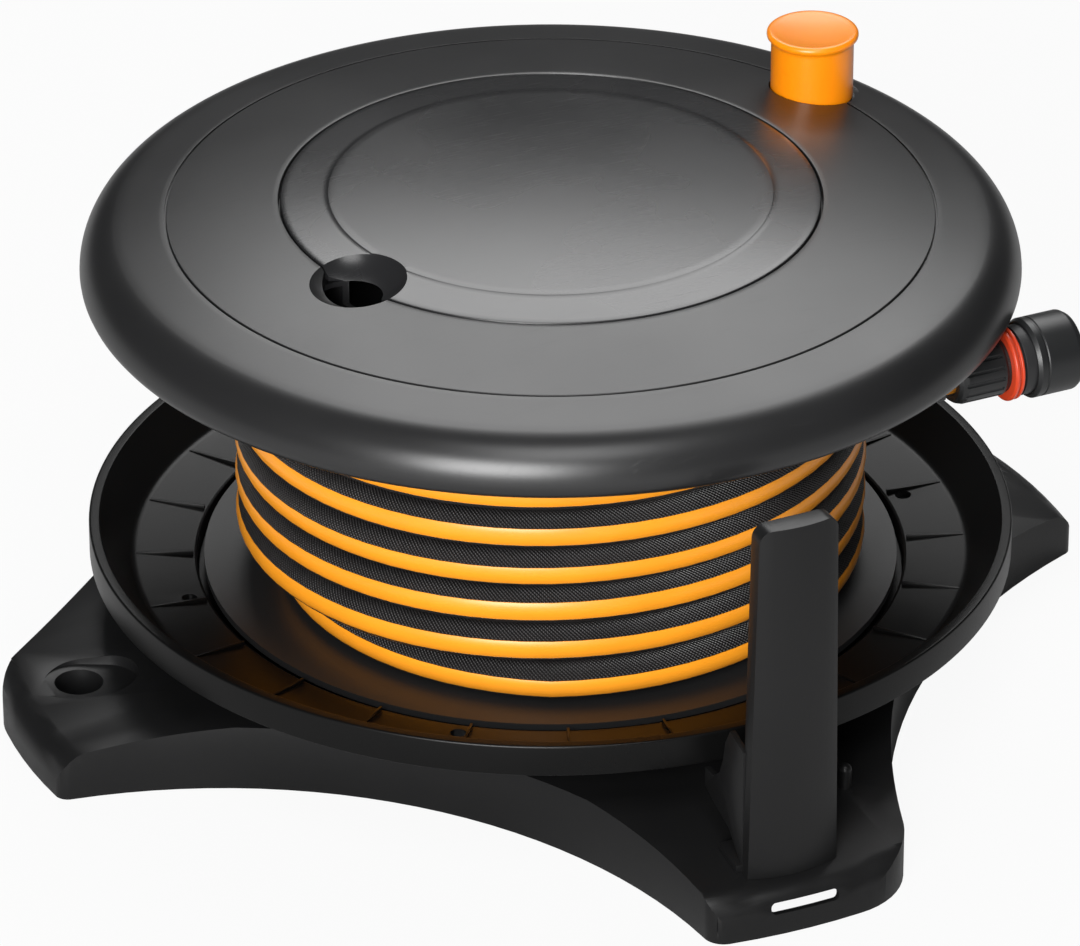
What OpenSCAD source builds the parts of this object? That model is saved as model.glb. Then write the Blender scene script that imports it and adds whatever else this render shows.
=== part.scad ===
// Garden hose reel whose drum lies flat and turns on a four-legged stand, in millimetres.
// The origin is on the floor under the drum's axis, +Z is up, and the guide post's leg points along -Y.

/* [Stand] */
// Reach of the side and back legs' tips from the drum's axis
stand_r = 245; // [242:0.5:248]
// Reach of the guide post's leg
guide_leg_r = 254; // [253.5:0.5:258]
// Distance from the axis to the side wall between the guide post's leg and the left leg
left_waist_r = 147.4; // [144:0.2:151]
// Distance from the axis to the side wall between the guide post's leg and the right leg
right_waist_r = 163.5; // [160:0.5:167]
// Distance from the axis to the side walls beside the back leg
back_waist_r = 188.5; // [184:0.5:192]
// Radius of the tight corners of the legs' tips
leg_corner = 6; // [5:0.5:9]
// Radius of the wide corners of the legs' tips
leg_round = 36; // [30:1:38]
// Height of the stand's top under the tray
deck_h = 30; // [29:0.5:33]
// Fall of a leg's top towards its tip, for each millimetre of its length
leg_fall = 0.15; // [0.1:0.01:0.2]
// Radius of the roll from a leg's top into its end wall
roll_r = 14; // [10:0.5:16]
// Thickness of the stand's moulded walls
stand_wall = 2.5; // [2:0.1:3]

/* [Anchor holes and strap slot] */
// Distance of the peg holes from the axis
anchor_r = 214; // [211:0.5:216]
// Diameter of the peg holes
anchor_d = 21; // [18:0.5:22]
// Diameter of the dished ring round a peg hole
anchor_dish_d = 30; // [27:0.5:34]
// Width of the slot in the guide post's leg
slot_w = 31; // [24:1:34]
// Height of that slot
slot_h = 4.6; // [4.4:0.1:5.5]
// Height of the slot's middle above the floor
slot_z = 12; // [10:0.5:13]

/* [Tray] */
// Outer radius of the tray's lip
tray_r = 199.4; // [197:0.1:202]
// Height of the tray's lip above the floor
tray_h = 68; // [66:0.5:71]
// Height of the turned-down lip
lip_h = 14; // [10:0.5:16]
// Thickness of the tray
tray_wall = 3; // [2.6:0.1:3.2]
// Radius where the tray's floor turns up into its sloping wall
tray_floor_r = 181; // [178:0.5:184]
// Running gap between the drum's lower flange and the tray's well
well_gap = 3; // [2.5:0.5:5]
// Diameter of the drain holes
drain_d = 7; // [5:0.5:8]

/* [Guide post] */
// Width of the post at its foot
post_w = 41; // [38:1:43]
// Width of the post at its top
post_top_w = 35.5; // [34:0.5:38]
// Sideways place of the post, its screws and the slot on their leg
post_x = -3; // [-5:0.5:0]
// Depth of the post from its inner edges to its face
post_depth = 10; // [9:0.5:11]
// Height of the post's top above the floor
post_h = 185; // [180:1:190]
// Thickness of the post's walls
post_wall = 2.5; // [2:0.1:3]

/* [Drum] */
// Outer radius of the drum's barrel
hub_r = 80; // [78:0.5:81]
// Radius of both drum flanges
flange_r = 150; // [148:0.5:151]
// Thickness of the drum's walls
drum_wall = 3; // [2.6:0.1:3.2]
// Clear height between the flanges
drum_gap = 128.6; // [128.6:0.1:131]

/* [Hose] */
// Outer diameter of the hose
hose_d = 17.4; // [17:0.1:17.5]
// Gap between two turns that lie side by side
hose_gap = 0.65; // [0.5:0.05:0.7]

/* [Lid] */
// Outer radius of the lid
lid_r = 200; // [198:0.5:202]
// Height of the lid's crown above the drum
lid_crown_h = 46.3; // [44:0.1:49]
// Radius of the dome that the lid's top follows
dome_r = 952; // [900:1:1100]
// Radius of the lid's rounded rim
rim_r = 20; // [17:0.5:22]
// Thickness of the lid
lid_wall = 3; // [2.5:0.1:3.4]
// Radius of the bin cover's opening in the lid
cover_seat_r = 115.3; // [114:0.1:117]
// Gap all round the bin cover
cover_gap = 0.8; // [0.6:0.1:1.2]
// Radius of the finger scoop's circle
scoop_r = 20.5; // [18:0.5:22]
// Depth of the finger scoop
scoop_depth = 8; // [6:0.5:8]
// Radius of the shadow groove in the lid
groove_r = 163; // [158:0.5:166]

/* [Crank knob] */
// Distance of the knob from the drum's axis
knob_at_r = 160; // [156:0.5:163]
// Bearing of the knob, from +X towards +Y
knob_at_deg = 19.5; // [0:0.5:60]
// Diameter of the knob's grip
knob_d = 36; // [33:0.5:38]
// Height of the knob over its recess
knob_h = 32; // [28:0.5:34]
// Diameter of the knob's axle
knob_axle_d = 10; // [8:0.5:12]

/* [Spindle] */
// Outer diameter of the water spindle
spindle_d = 28; // [26:0.5:30]
// Diameter of the water way
water_d = 13; // [10:0.5:14]
// Running clearance of the bushes on the spindle and of the knob on its axle
run_fit = 0.05; // [0.03:0.01:0.08]

/* [Hose end connector] */
// Outer diameter of the connector's sleeve
sleeve_d = 34.5; // [33:0.5:35]
// Distance of the connector's mouth past the drum's axis, along the hose
mouth_x = 181.5; // [181:0.5:183.5]
// Diameter of the connector's mouth
mouth_d = 17; // [16:0.5:18]
// Travel of the release sleeve
sleeve_travel = 4; // [3:0.5:4.5]

/* [Hidden] */
$fn = 96;

BLACK = [0.09, 0.09, 0.095];
GLOSS = [0.06, 0.06, 0.065];
GREY = [0.16, 0.16, 0.17];
ORANGE = [0.95, 0.47, 0.05];
STEEL = [0.7, 0.7, 0.72];
NYLON = [0.85, 0.84, 0.8];
RUBBER = [0.12, 0.12, 0.12];

seat_gap = 0.3;
eps = 0.01;

// Legs counter-clockwise from the right one, as reach and the corners' radii before and after the tip.
// The notch after each leg is an arc, as bearing, distance of its waist from the axis, and radius.
slope_r = 180;
LEGS = [[stand_r, leg_corner, leg_round / 1.5], [guide_leg_r, 2 * leg_corner, 2 * leg_corner],
        [stand_r, leg_round, leg_corner], [guide_leg_r, leg_corner + 3, leg_round]];
NOTCHES = [[45.5, back_waist_r, 690], [134.5, back_waist_r, 690], [223.4, left_waist_r, 231],
           [318, right_waist_r, 312.5]];
PEG_BEARINGS = [4, 90, 174.5];

// Heights up the drum's axis
tray_foot = 7;
well_z = deck_h + tray_foot + tray_wall;
spindle_flange_h = 4;
washer_h = 1.8;
run_gap = 0.2;
drum_z = well_z + spindle_flange_h + washer_h + run_gap;
coil_z = drum_z + drum_wall;
upper_z = coil_z + drum_gap;
lid_z = upper_z + drum_wall;
tray_floor_z = coil_z + 1;
well_r = flange_r + well_gap;
lip_in_r = tray_r - 2.5;

// The hose's outer layer, wound over two layers that the plain core stands for
pitch = hose_d + hose_gap;
layer1_r = hub_r + 2.4 + hose_d / 2;
layer2_r = layer1_r + pitch;
layer3_r = layer2_r + pitch;
turn1_z = coil_z + seat_gap + hose_d / 2;
wind_lead = 90;
wind_at = -115;
leave_at = -90;
first_lift = 0.6;
tail_turn = leave_at - wind_at;
full_turns = floor((drum_gap - hose_d - 2 * seat_gap - first_lift) / pitch - tail_turn / 360);
wind_deg = 360 * full_turns + tail_turn;
rings_per_turn = 24;
wind_steps = ceil((wind_lead + wind_deg) * rings_per_turn / 360);
winding_sides = 6;
tail_sides = 12;
core_r = layer3_r - hose_d / 2 - 0.5;
core_gap = 0.5;
tail_z = turn1_z + first_lift + pitch * wind_deg / 360;

// Spindle and swivel
spindle_r = spindle_d / 2;
spindle_foot_r = 11;
foot_fit = 0.3;
flange_seat_r = 26;
bush_wall = 3;
bush_r = spindle_r + bush_wall;
housing_r = bush_r + 6;
port_z = turn1_z;
port_r = 4.5;
chamber_h = 11;
ring_r = 1;
ring_h = 2.4;
lower_seal_z = port_z - chamber_h / 2 - 1.9;
upper_seal_z = port_z + chamber_h / 2 + 1.9;
upper_bush_z = upper_seal_z + ring_h / 2 + 1;
upper_bush_h = 12;
housing_top = upper_bush_z + upper_bush_h;
spindle_top = housing_top + seat_gap;
retainer_h = 2;
pipe_r = 5.5;
pipe_bore_r = 4;
pipe_z = 18.5;
pipe_head_top = pipe_z + pipe_r + 1;
nipple_x = 150;
nipple_r = 7.75;
nipple_boss_y = 131;
nipple_boss_len = 32;
nipple_len = 42;
// Bearing of the elbow, from which the innermost layer climbs just over six turns
elbow_at = -57.6;
elbow_len = 20;
elbow_r = 8;

// Lid
crown_z = lid_z + lid_crown_h;
rim_c = lid_r - rim_r;
rim_tilt = asin(rim_c / (dome_r - rim_r));
rim_z = crown_z - dome_r + (dome_r - rim_r) * cos(rim_tilt);
lip_r = 6;
dome_steps = 8;
rim_steps = 7;
ledge_z = crown_z - 12.5;
ledge_in_r = cover_seat_r - 9.3;
skirt_in_r = cover_seat_r;
cover_r = cover_seat_r - cover_gap;
bin_r = cover_seat_r - 9.3;
bin_low_r = hub_r - drum_wall - 2;
bin_wall = 2.5;
bin_floor_z = spindle_top + retainer_h + 6;
screw_ring_r = skirt_in_r + lid_wall + 4;
lid_screw_count = 6;
lid_screw_from = 30;
scoop_at_deg = -161;
scoop_at_r = cover_seat_r - 1.3;
scoop_ball = (scoop_r * scoop_r + scoop_depth * scoop_depth) / (2 * scoop_depth);
scoop_z = dome_z(scoop_at_r) - scoop_depth + scoop_ball;
rib_count = 12;

// Knob
knob_floor_z = dome_z(knob_at_r) - 3;
knob_r = knob_d / 2;
recess_r = knob_r + 0.8;
knob_axle_r = knob_axle_d / 2;
knob_z = knob_floor_z + seat_gap;
knob_cap_h = 4;
knob_cap_r = knob_r + 2;
knob_shelf = 5;
knob_boss_h = 16;
knob_foot_z = knob_floor_z - knob_boss_h;
knob_grip_top = knob_floor_z + knob_h - knob_cap_h;
knob_axle_top = knob_grip_top - knob_shelf;

// Connector on the hose's end, along +X
sleeve_r = sleeve_d / 2;
mouth_r = mouth_d / 2;
end_y = -layer3_r;
end_z = tail_z - 1.2;
nut_x = 124;
collar_x = mouth_x - 33;
ring_w = 4.5;
ring_gap = 1;
sleeve_x = mouth_x - 22.5;
collar_r = sleeve_r - 1;
neck_r = sleeve_r - 2.2;
barrel_r = sleeve_r - 4;
core_tube_r = barrel_r - 3.2;
nut_floor = 8;
clip_x = 108;
clip_w = 10;

// Points of the tail's route, from the coil to the connector
TAIL = [[0, 0], [30, 0], [60, -0.2], [85, -0.7], [107, -1.2], [124, -1.2]];

function dome_z(r) = crown_z - dome_r + sqrt(dome_r * dome_r - r * r);
function polar(r, a) = [r * cos(a), r * sin(a)];
function unit(v) = v / norm(v);

// Centre of the hose at an angle turned since the layer's lead-in began
function wind_r(a) = a < wind_lead ? layer2_r + (layer3_r - layer2_r) * a / wind_lead : layer3_r;
function ease(t) = t >= 1 ? 1 : t * t * (3 - 2 * t);
function wind_z(a) = a < wind_lead ? turn1_z
    : turn1_z + pitch * (a - wind_lead) / 360 + first_lift * ease((a - wind_lead) / 360);
function wind_point(a) = let (at = wind_at - wind_lead + a) concat(polar(wind_r(a), at), [wind_z(a)]);
function along(at) = [-sin(at), cos(at), 0];
function wind_route() = let (sweep = wind_lead + wind_deg, first = wind_point(0), last = wind_point(sweep))
    concat([first - hose_d * along(wind_at - wind_lead)],
           [for (i = [0 : wind_steps]) wind_point(sweep * i / wind_steps)],
           [last + hose_d * along(leave_at)]);
WIND = wind_route();

// Corner points of a ring round a route's point i, and the closed tube along the route
function heading(p, i) = i == 0 ? unit(p[1] - p[0])
    : i == len(p) - 1 ? unit(p[i] - p[i - 1])
    : unit(unit(p[i + 1] - p[i]) + unit(p[i] - p[i - 1]));
function ring(p, i, r, sides) = let (t = heading(p, i), n = unit(cross(t, [0, 0, 1])), b = cross(n, t))
    [for (j = [0 : sides - 1]) let (a = 360 * (j + 0.5) / sides) p[i] + r * cos(a) * n + r * sin(a) * b];
module tube(p, r, sides) {
    n = len(p);
    points = [for (i = [0 : n - 1]) each ring(p, i, r, sides)];
    walls = [for (i = [0 : n - 2], j = [0 : sides - 1])
             let (a = i * sides + j, b = i * sides + (j + 1) % sides)
             each [[a, b, a + sides], [b, b + sides, a + sides]]];
    start = [for (j = [1 : sides - 2]) [0, j + 1, j]];
    end = [for (j = [1 : sides - 2]) let (o = (n - 1) * sides) [o, o + j, o + j + 1]];
    polyhedron(points = points, faces = concat(walls, start, end));
}
turn_gap = min([for (i = [0 : len(WIND) - 1], j = [i + rings_per_turn / 2 : 1 : len(WIND) - 1])
                norm(WIND[i] - WIND[j])]) - hose_d;
echo(least_gap_between_turns = turn_gap);

// Copies spread evenly round the drum's axis
module around(count, r, from = 0) {
    for (i = [0 : count - 1]) rotate(from + i * 360 / count) translate([r, 0, 0]) children();
}
module ring_solid(r_out, r_in, h) {
    difference() {
        cylinder(r = r_out, h = h);
        translate([0, 0, -1]) cylinder(r = r_in, h = h + 2);
    }
}
module flat_screw(r, head_r, len) {
    translate([0, 0, -len]) cylinder(r = r, h = len - head_r + r + eps);
    translate([0, 0, r - head_r]) cylinder(r1 = r, r2 = head_r, h = head_r - r);
}
module flat_screw_hole(r, head_r, len) {
    translate([0, 0, -len]) cylinder(r = r, h = len + 1);
    translate([0, 0, r - head_r]) cylinder(r1 = r, r2 = head_r, h = head_r - r);
    cylinder(r = head_r, h = 1);
}

// Centre of a tip's corner, which touches the tip's circle and the notch beside it
function corner_at(reach, c, notch, side) = let (far = notch[1] + notch[2], at = reach - c)
    polar(at, notch[0] + side * acos((at * at + far * far - pow(notch[2] + c, 2)) / (2 * at * far)));
function before(i) = NOTCHES[(i + 3) % 4];
STARTS = [for (i = [0 : 3]) corner_at(LEGS[i][0], LEGS[i][1], before(i), 1)];
ENDS = [for (i = [0 : 3]) corner_at(LEGS[i][0], LEGS[i][2], NOTCHES[i], -1)];
// A point just past where a corner drawn with a radius touches the notch
function past_touch(corner, r, notch) =
    corner + (r + 1) * unit(polar(notch[1] + notch[2], notch[0]) - corner);
// Plan of the stand, drawn in by a wall's thickness. Its corners are a hair larger than true,
// so that their arcs cross those beside them instead of only touching them.
module stand_plan(inset) {
    hair = 0.02;
    difference() {
        union() {
            polygon([for (i = [0 : 3]) each [
                past_touch(STARTS[i], LEGS[i][1] - inset, before(i)), STARTS[i], ENDS[i],
                past_touch(ENDS[i], LEGS[i][2] - inset, NOTCHES[i]),
                polar(NOTCHES[i][1] + 5, NOTCHES[i][0])]]);
            for (i = [0 : 3]) intersection() {
                circle(r = LEGS[i][0] - inset);
                polygon([[0, 0], 1.3 * STARTS[i], polar(1.3 * guide_leg_r, i * 90), 1.3 * ENDS[i]]);
            }
        }
        for (notch = NOTCHES) rotate(notch[0]) translate([notch[1] + notch[2], 0])
            circle(r = notch[2] + inset, $fn = 240);
    }
    for (i = [0 : 3]) {
        translate(STARTS[i]) circle(r = LEGS[i][1] - inset + hair);
        translate(ENDS[i]) circle(r = LEGS[i][2] - inset + hair);
    }
}
// Top of the stand as a turned shape, which slopes down to the legs' tips
function leg_top_z(r) = deck_h - leg_fall * max(0, r - slope_r);
module deck(inset) {
    far = guide_leg_r + roll_r;
    rotate_extrude() polygon([[0, -2], [0, deck_h - inset], [slope_r, deck_h - inset],
                              [far, leg_top_z(far) - inset], [far, -2]]);
}
// What lies outside the roll over a leg's tip
module roll_cut(reach, inset) {
    roll_c = reach - roll_r;
    mid_z = leg_top_z(roll_c) - roll_r;
    intersection() {
        translate([roll_c, -reach / 3, -2]) cube([2 * roll_r, reach / 1.5, 2 * deck_h]);
        rotate_extrude() polygon(concat(
            [for (a = [90 : -15 : 15])
                [roll_c + (roll_r - inset) * cos(a), mid_z + (roll_r - inset) * sin(a)]],
            // The last stretch runs on past the end wall
            [[reach - inset + 0.3, mid_z - 2.3], [reach + roll_r, mid_z - 2.3],
             [reach + roll_r, 2 * deck_h], [roll_c, 2 * deck_h]]));
    }
}
module stand_body(low, inset) {
    difference() {
        intersection() {
            translate([0, 0, low]) linear_extrude(deck_h) stand_plan(inset);
            deck(inset);
        }
        for (i = [0 : 3]) rotate(i * 90) roll_cut(LEGS[i][0], inset);
    }
}

boss_r = 5;
tray_screw_r = 120;
tray_screw_from = 45;
guide_screw_x = 9;
spindle_screw_r = 21;
spindle_screw_count = 3;
screw_r = 2;
head_r = 3.8;
pilot_r = 1.7;
screw_len = 14;

stud_at = polar(203, -78);
// A dish from a peg hole in towards the drum's axis
module at_pegs() {
    for (at = PEG_BEARINGS) rotate(at) translate([anchor_r, 0, 0]) rotate(180 + (90 - at) / 4) children();
}
module dish(r, z, h) {
    for (x = [0, anchor_d / 2]) translate([x, 0, z]) cylinder(r = r, h = h);
    translate([0, -r, z]) cube([anchor_d / 2, 2 * r, h]);
}
module base_stand() {
    dish_z = leg_top_z(anchor_r) - 2;
    dish_r = anchor_dish_d / 2;
    color(BLACK) difference() {
        union() {
            difference() {
                stand_body(0, 0);
                stand_body(-1, stand_wall);
            }
            // Tubes and dishes round the peg holes
            intersection() {
                deck(0);
                at_pegs() {
                    translate([0, 0, 8]) cylinder(r = dish_r, h = deck_h);
                    dish(dish_r + stand_wall, dish_z - stand_wall, deck_h);
                }
            }
            // Screw bosses, the spindle's collar and the inlet's boss
            around(4, tray_screw_r, tray_screw_from) translate([0, 0, 10])
                cylinder(r = boss_r, h = deck_h - 11);
            at_guide_screws(6) cylinder(r = boss_r, h = leg_top_z(guide_screw_r) - 7);
            around(spindle_screw_count, spindle_screw_r) translate([0, 0, pipe_head_top + 0.5])
                cylinder(r = boss_r, h = deck_h - pipe_head_top - 1.5);
            translate([nipple_x, nipple_boss_y - nipple_boss_len, pipe_z]) rotate([-90, 0, 0])
                cylinder(r = nipple_r + 6, h = nipple_boss_len);
            // Ribs from the collar to the waists
            for (notch = NOTCHES) rotate(notch[0]) translate([30, -1, deck_h - 12])
                cube([notch[1] - 31, 2, 10.5]);
            translate(concat(stud_at, [deck_h - 4])) {
                cylinder(r = 3, h = 8);
                translate([0, 0, 8]) sphere(r = 3);
            }
        }
        translate([0, 0, deck_h - 8]) cylinder(r = spindle_foot_r + foot_fit, h = 20);
        at_pegs() {
            cylinder(r = anchor_d / 2, h = 2 * deck_h);
            dish(dish_r, dish_z, deck_h);
        }
        around(4, tray_screw_r, tray_screw_from) translate([0, 0, deck_h - 15])
            cylinder(r = pilot_r, h = 20);
        at_guide_screws(8) cylinder(r = pilot_r, h = deck_h);
        around(spindle_screw_count, spindle_screw_r) cylinder(r = pilot_r, h = 2 * deck_h);
        translate([nipple_x, nipple_boss_y - nipple_boss_len - 5, pipe_z]) rotate([-90, 0, 0])
            cylinder(r = pipe_r + foot_fit, h = nipple_boss_len + 20);
        // Slot with round ends
        translate([post_x, -guide_leg_r - 5, slot_z]) rotate([-90, 0, 0]) linear_extrude(25) {
            square([slot_w - slot_h, slot_h], center = true);
            for (side = [-1, 1]) translate([side * (slot_w - slot_h) / 2, 0]) circle(d = slot_h);
        }
    }
}

module tray() {
    slope = tray_floor_r - 3;
    wall_top = tray_h - 1.5;
    color(BLACK) difference() {
        union() {
            rotate_extrude() polygon([
                [0, well_z - tray_wall], [well_r + tray_wall, well_z - tray_wall],
                [well_r + tray_wall, tray_floor_z - 2 - tray_wall],
                [slope, tray_floor_z - tray_wall], [tray_floor_r + 1.2, tray_floor_z - tray_wall],
                [lip_in_r, wall_top - 4.5], [lip_in_r, tray_h - lip_h], [tray_r, tray_h - lip_h],
                [tray_r, tray_h - 0.8], [tray_r - 0.8, tray_h], [lip_in_r - 0.6, tray_h],
                [lip_in_r - 1.6, wall_top], [tray_floor_r, tray_floor_z],
                [well_r, tray_floor_z - 2], [well_r, well_z], [0, well_z]]);
            // Foot ring and bosses that stand on the deck
            translate([0, 0, deck_h]) {
                ring_solid(well_r - 7, well_r - 11, tray_foot + eps);
                cylinder(r = flange_seat_r + 4, h = tray_foot + eps);
                around(4, tray_screw_r, tray_screw_from) cylinder(r = boss_r + 2, h = tray_foot + eps);
            }
            // Low ribs across the tray's floor
            around(24, well_r + 1.5, 7.5) translate([0, -0.6, tray_floor_z - 2.5])
                cube([tray_floor_r - well_r - 2, 1.2, 3.2]);
        }
        translate([0, 0, deck_h - 1]) cylinder(r = spindle_foot_r + foot_fit, h = 30);
        around(4, tray_screw_r, tray_screw_from) translate([0, 0, well_z])
            flat_screw_hole(screw_r + 0.2, head_r + 0.2, 20);
        around(spindle_screw_count, spindle_screw_r) cylinder(r = screw_r + 0.2, h = 2 * well_z);
        around(6, (well_r + tray_floor_r) / 2 - 6, -9) cylinder(d = drain_d, h = tray_h);
    }
}
module tray_screws() {
    color(STEEL) around(4, tray_screw_r, tray_screw_from) translate([0, 0, well_z])
        flat_screw(pilot_r, head_r, screw_len + 6);
}

// Plan of the post at a height: a channel whose open side faces the drum
post_out_r = guide_leg_r - 10.5;
post_in_r = post_out_r - post_depth;
guide_screw_r = post_in_r - 7.5;
post_face_r = 60;
gusset_at = [post_w / 2 - post_wall, -post_w / 2];
module at_guide_screws(z) {
    for (side = [-1, 1]) translate([post_x + side * guide_screw_x, -guide_screw_r, z]) children();
}
module post_plate(w1, w2, y1, y2, z1, z2, corner) {
    // A flat plate across the leg with rounded top corners
    translate([0, -y1, 0]) rotate([90, 0, 0]) linear_extrude(y2 - y1) union() {
        polygon([[-w1 / 2, z1], [w1 / 2, z1], [w2 / 2, z2 - corner], [w2 / 2 - corner, z2 - corner],
                 [corner - w2 / 2, z2 - corner], [-w2 / 2, z2 - corner]]);
        for (side = [-1, 1]) translate([side * (w2 / 2 - corner), z2 - corner]) circle(r = corner);
        translate([corner - w2 / 2, z2 - 2 * corner]) square([w2 - 2 * corner, 2 * corner]);
    }
}
module hose_guide_post() {
    foot = deck_h - 12;
    corner = 6;
    color(BLACK) difference() {
        translate([post_x, 0, 0]) {
            difference() {
                intersection() {
                    post_plate(post_w, post_top_w, post_in_r, post_out_r, foot, post_h, corner);
                    // The face bulges gently across its width
                    translate([0, post_face_r - post_out_r, 0]) cylinder(r = post_face_r, h = post_h + 1);
                }
                intersection() {
                    post_plate(post_w - 2 * post_wall, post_top_w - 2 * post_wall, post_in_r - 1,
                               post_out_r - post_wall, foot - 1, post_h - post_wall, corner - post_wall);
                    translate([0, post_face_r - post_out_r, 0])
                        cylinder(r = post_face_r - post_wall, h = post_h + 1);
                }
            }
            // Curved gussets that reach back to the tray's lip
            for (x = gusset_at) translate([x, 0, 0]) rotate([90, 0, 90]) linear_extrude(post_wall)
                gusset();
            // Foot with the two screws
            intersection() {
                translate([-post_w / 2 - 2.5, -post_in_r - 1, foot]) cube([post_w + 5, 16, deck_h]);
                difference() {
                    translate([0, 0, stand_wall + 1]) deck(0);
                    translate([0, 0, seat_gap]) deck(0);
                }
            }
        }
        translate([0, 0, seat_gap - eps]) deck(0);
        at_guide_screws(0) cylinder(r = screw_r + 0.2, h = 2 * deck_h);
        at_guide_screws(guide_seat_z) cylinder(r = head_r + seat_gap, h = 10);
    }
}
// Side view of a gusset: parts of the way from the post to the tray's lip, and of the lip's height
GUSSET = [[1, 0.65], [1, 0.78], [0.79, 0.78], [0.62, 0.85], [0.53, 0.97], [0.48, 1.1], [0.36, 1.21],
          [0, 1.16], [0, 0.35], [0.16, 0.43], [0.36, 0.53], [0.72, 0.59]];
module gusset() {
    front = -post_in_r - 1;
    reach = -tray_r - seat_gap - front;
    polygon([for (p = GUSSET) [front + reach * p[0], tray_h * p[1]]]);
}
guide_seat_z = leg_top_z(guide_screw_r) + stand_wall;
module guide_screws() {
    color(STEEL) at_guide_screws(guide_seat_z) {
        cylinder(r = head_r, h = 2.2);
        translate([0, 0, -12]) cylinder(r = pilot_r, h = 12 + eps);
    }
}

module spindle() {
    color(NYLON) difference() {
        union() {
            translate([0, 0, well_z]) cylinder(r = flange_seat_r, h = spindle_flange_h);
            translate([0, 0, well_z]) cylinder(r = spindle_r, h = spindle_top - well_z);
            translate([0, 0, pipe_head_top]) cylinder(r = spindle_foot_r, h = well_z - pipe_head_top + 1);
        }
        translate([0, 0, pipe_head_top - 1]) cylinder(d = water_d, h = port_z + port_r - pipe_head_top + 3);
        rotate(elbow_at) translate([-spindle_r - 1, 0, port_z]) rotate([0, 90, 0])
            cylinder(r = port_r, h = 2 * spindle_r + 2);
        for (z = [lower_seal_z, upper_seal_z]) translate([0, 0, z - ring_h / 2])
            ring_solid(spindle_r + 1, spindle_r - 2 * ring_r - 0.1, ring_h);
        around(spindle_screw_count, spindle_screw_r) translate([0, 0, well_z + spindle_flange_h])
            flat_screw_hole(screw_r + 0.2, head_r + 0.2, 20);
        translate([0, 0, spindle_top - screw_len]) cylinder(r = pilot_r, h = screw_len + 1);
    }
}
module spindle_screws() {
    color(STEEL) around(spindle_screw_count, spindle_screw_r)
        translate([0, 0, well_z + spindle_flange_h]) flat_screw(pilot_r, head_r, screw_len + 2);
}
module inlet_pipe() {
    color(NYLON) difference() {
        union() {
            translate([0, 0, pipe_z - pipe_r - 1]) cylinder(r = spindle_foot_r, h = 2 * pipe_r + 2);
            translate([0, 0, pipe_z]) rotate([0, 90, 0]) cylinder(r = pipe_r, h = nipple_x);
            translate([nipple_x, 0, pipe_z]) sphere(r = pipe_r);
            translate([nipple_x, 0, pipe_z]) rotate([-90, 0, 0]) cylinder(r = pipe_r, h = nipple_boss_y);
        }
        translate([0, 0, pipe_z]) cylinder(r = pipe_bore_r, h = 20);
        translate([0, 0, pipe_z]) rotate([0, 90, 0]) cylinder(r = pipe_bore_r, h = nipple_x);
        translate([nipple_x, 0, pipe_z]) sphere(r = pipe_bore_r);
        translate([nipple_x, 0, pipe_z]) rotate([-90, 0, 0])
            cylinder(r = pipe_bore_r, h = nipple_boss_y + 1);
    }
}
// Quick connection nipple, from its collar outwards along +Y
module inlet_nipple() {
    collar = 5;
    neck_y = 16;
    neck_w = 4;
    tip_y = 34;
    color(ORANGE) translate([nipple_x, nipple_boss_y, pipe_z]) rotate([-90, 0, 0]) difference() {
        union() {
            cylinder(r = nipple_r + 4, h = collar, $fn = 6);
            translate([0, 0, collar - eps]) cylinder(r = nipple_r, h = neck_y - collar);
            translate([0, 0, neck_y - 1]) cylinder(r = nipple_r - 1.2, h = neck_w + 2);
            translate([0, 0, neck_y + neck_w]) cylinder(r = nipple_r, h = tip_y - neck_y - neck_w);
            translate([0, 0, tip_y - eps])
                cylinder(r1 = nipple_r, r2 = nipple_r - 1.5, h = nipple_len - tip_y);
        }
        translate([0, 0, -1]) cylinder(r = pipe_bore_r, h = nipple_len + 2);
        translate([0, 0, 27]) ring_solid(nipple_r + 1, nipple_r - 2 * ring_r, ring_h);
    }
}
module inlet_seal() {
    color(RUBBER) translate([nipple_x, nipple_boss_y + 27 + ring_h / 2, pipe_z]) rotate([-90, 0, 0])
        o_ring(nipple_r - ring_r);
}
module o_ring(r) {
    rotate_extrude() translate([r, 0]) circle(r = ring_r, $fn = 24);
}
module thrust_washer() {
    color(NYLON) translate([0, 0, well_z + spindle_flange_h])
        ring_solid(flange_seat_r - 1, spindle_r + seat_gap, washer_h);
}
module swivel_seals() {
    color(RUBBER) for (z = [lower_seal_z, upper_seal_z]) translate([0, 0, z])
        o_ring(spindle_r - ring_r);
}

module drum() {
    barrel_in = hub_r - drum_wall;
    color(BLACK) difference() {
        union() {
            translate([0, 0, drum_z]) ring_solid(flange_r, housing_r + seat_gap, drum_wall);
            translate([0, 0, upper_z]) ring_solid(flange_r, barrel_in, drum_wall);
            translate([0, 0, drum_z]) ring_solid(hub_r, barrel_in, lid_z - drum_z);
            // Ribs across the drum's floor
            around(6, housing_r + 10, 15) translate([0, -1, coil_z - eps])
                cube([barrel_in - housing_r - 9, 2, 8]);
            around(3, housing_r + 5) translate([0, 0, drum_z]) cylinder(r = boss_r - 0.5, h = drum_wall);
        }
        // Window for the elbow
        rotate(elbow_at) translate([barrel_in - 5, -elbow_r - 2, coil_z + 0.5])
            cube([drum_wall + 10, 2 * elbow_r + 4, hose_d + 2]);
        around(3, housing_r + 5) cylinder(r = pilot_r, h = lid_z);
        around(lid_screw_count, screw_ring_r, lid_screw_from) translate([0, 0, upper_z]) rotate([180, 0, 0])
            flat_screw_hole(screw_r + 0.2, head_r - 0.6, 20);
    }
}
module lower_bush() {
    color(NYLON) translate([0, 0, drum_z]) ring_solid(bush_r, spindle_r + run_fit, lower_bush_h);
}
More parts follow.
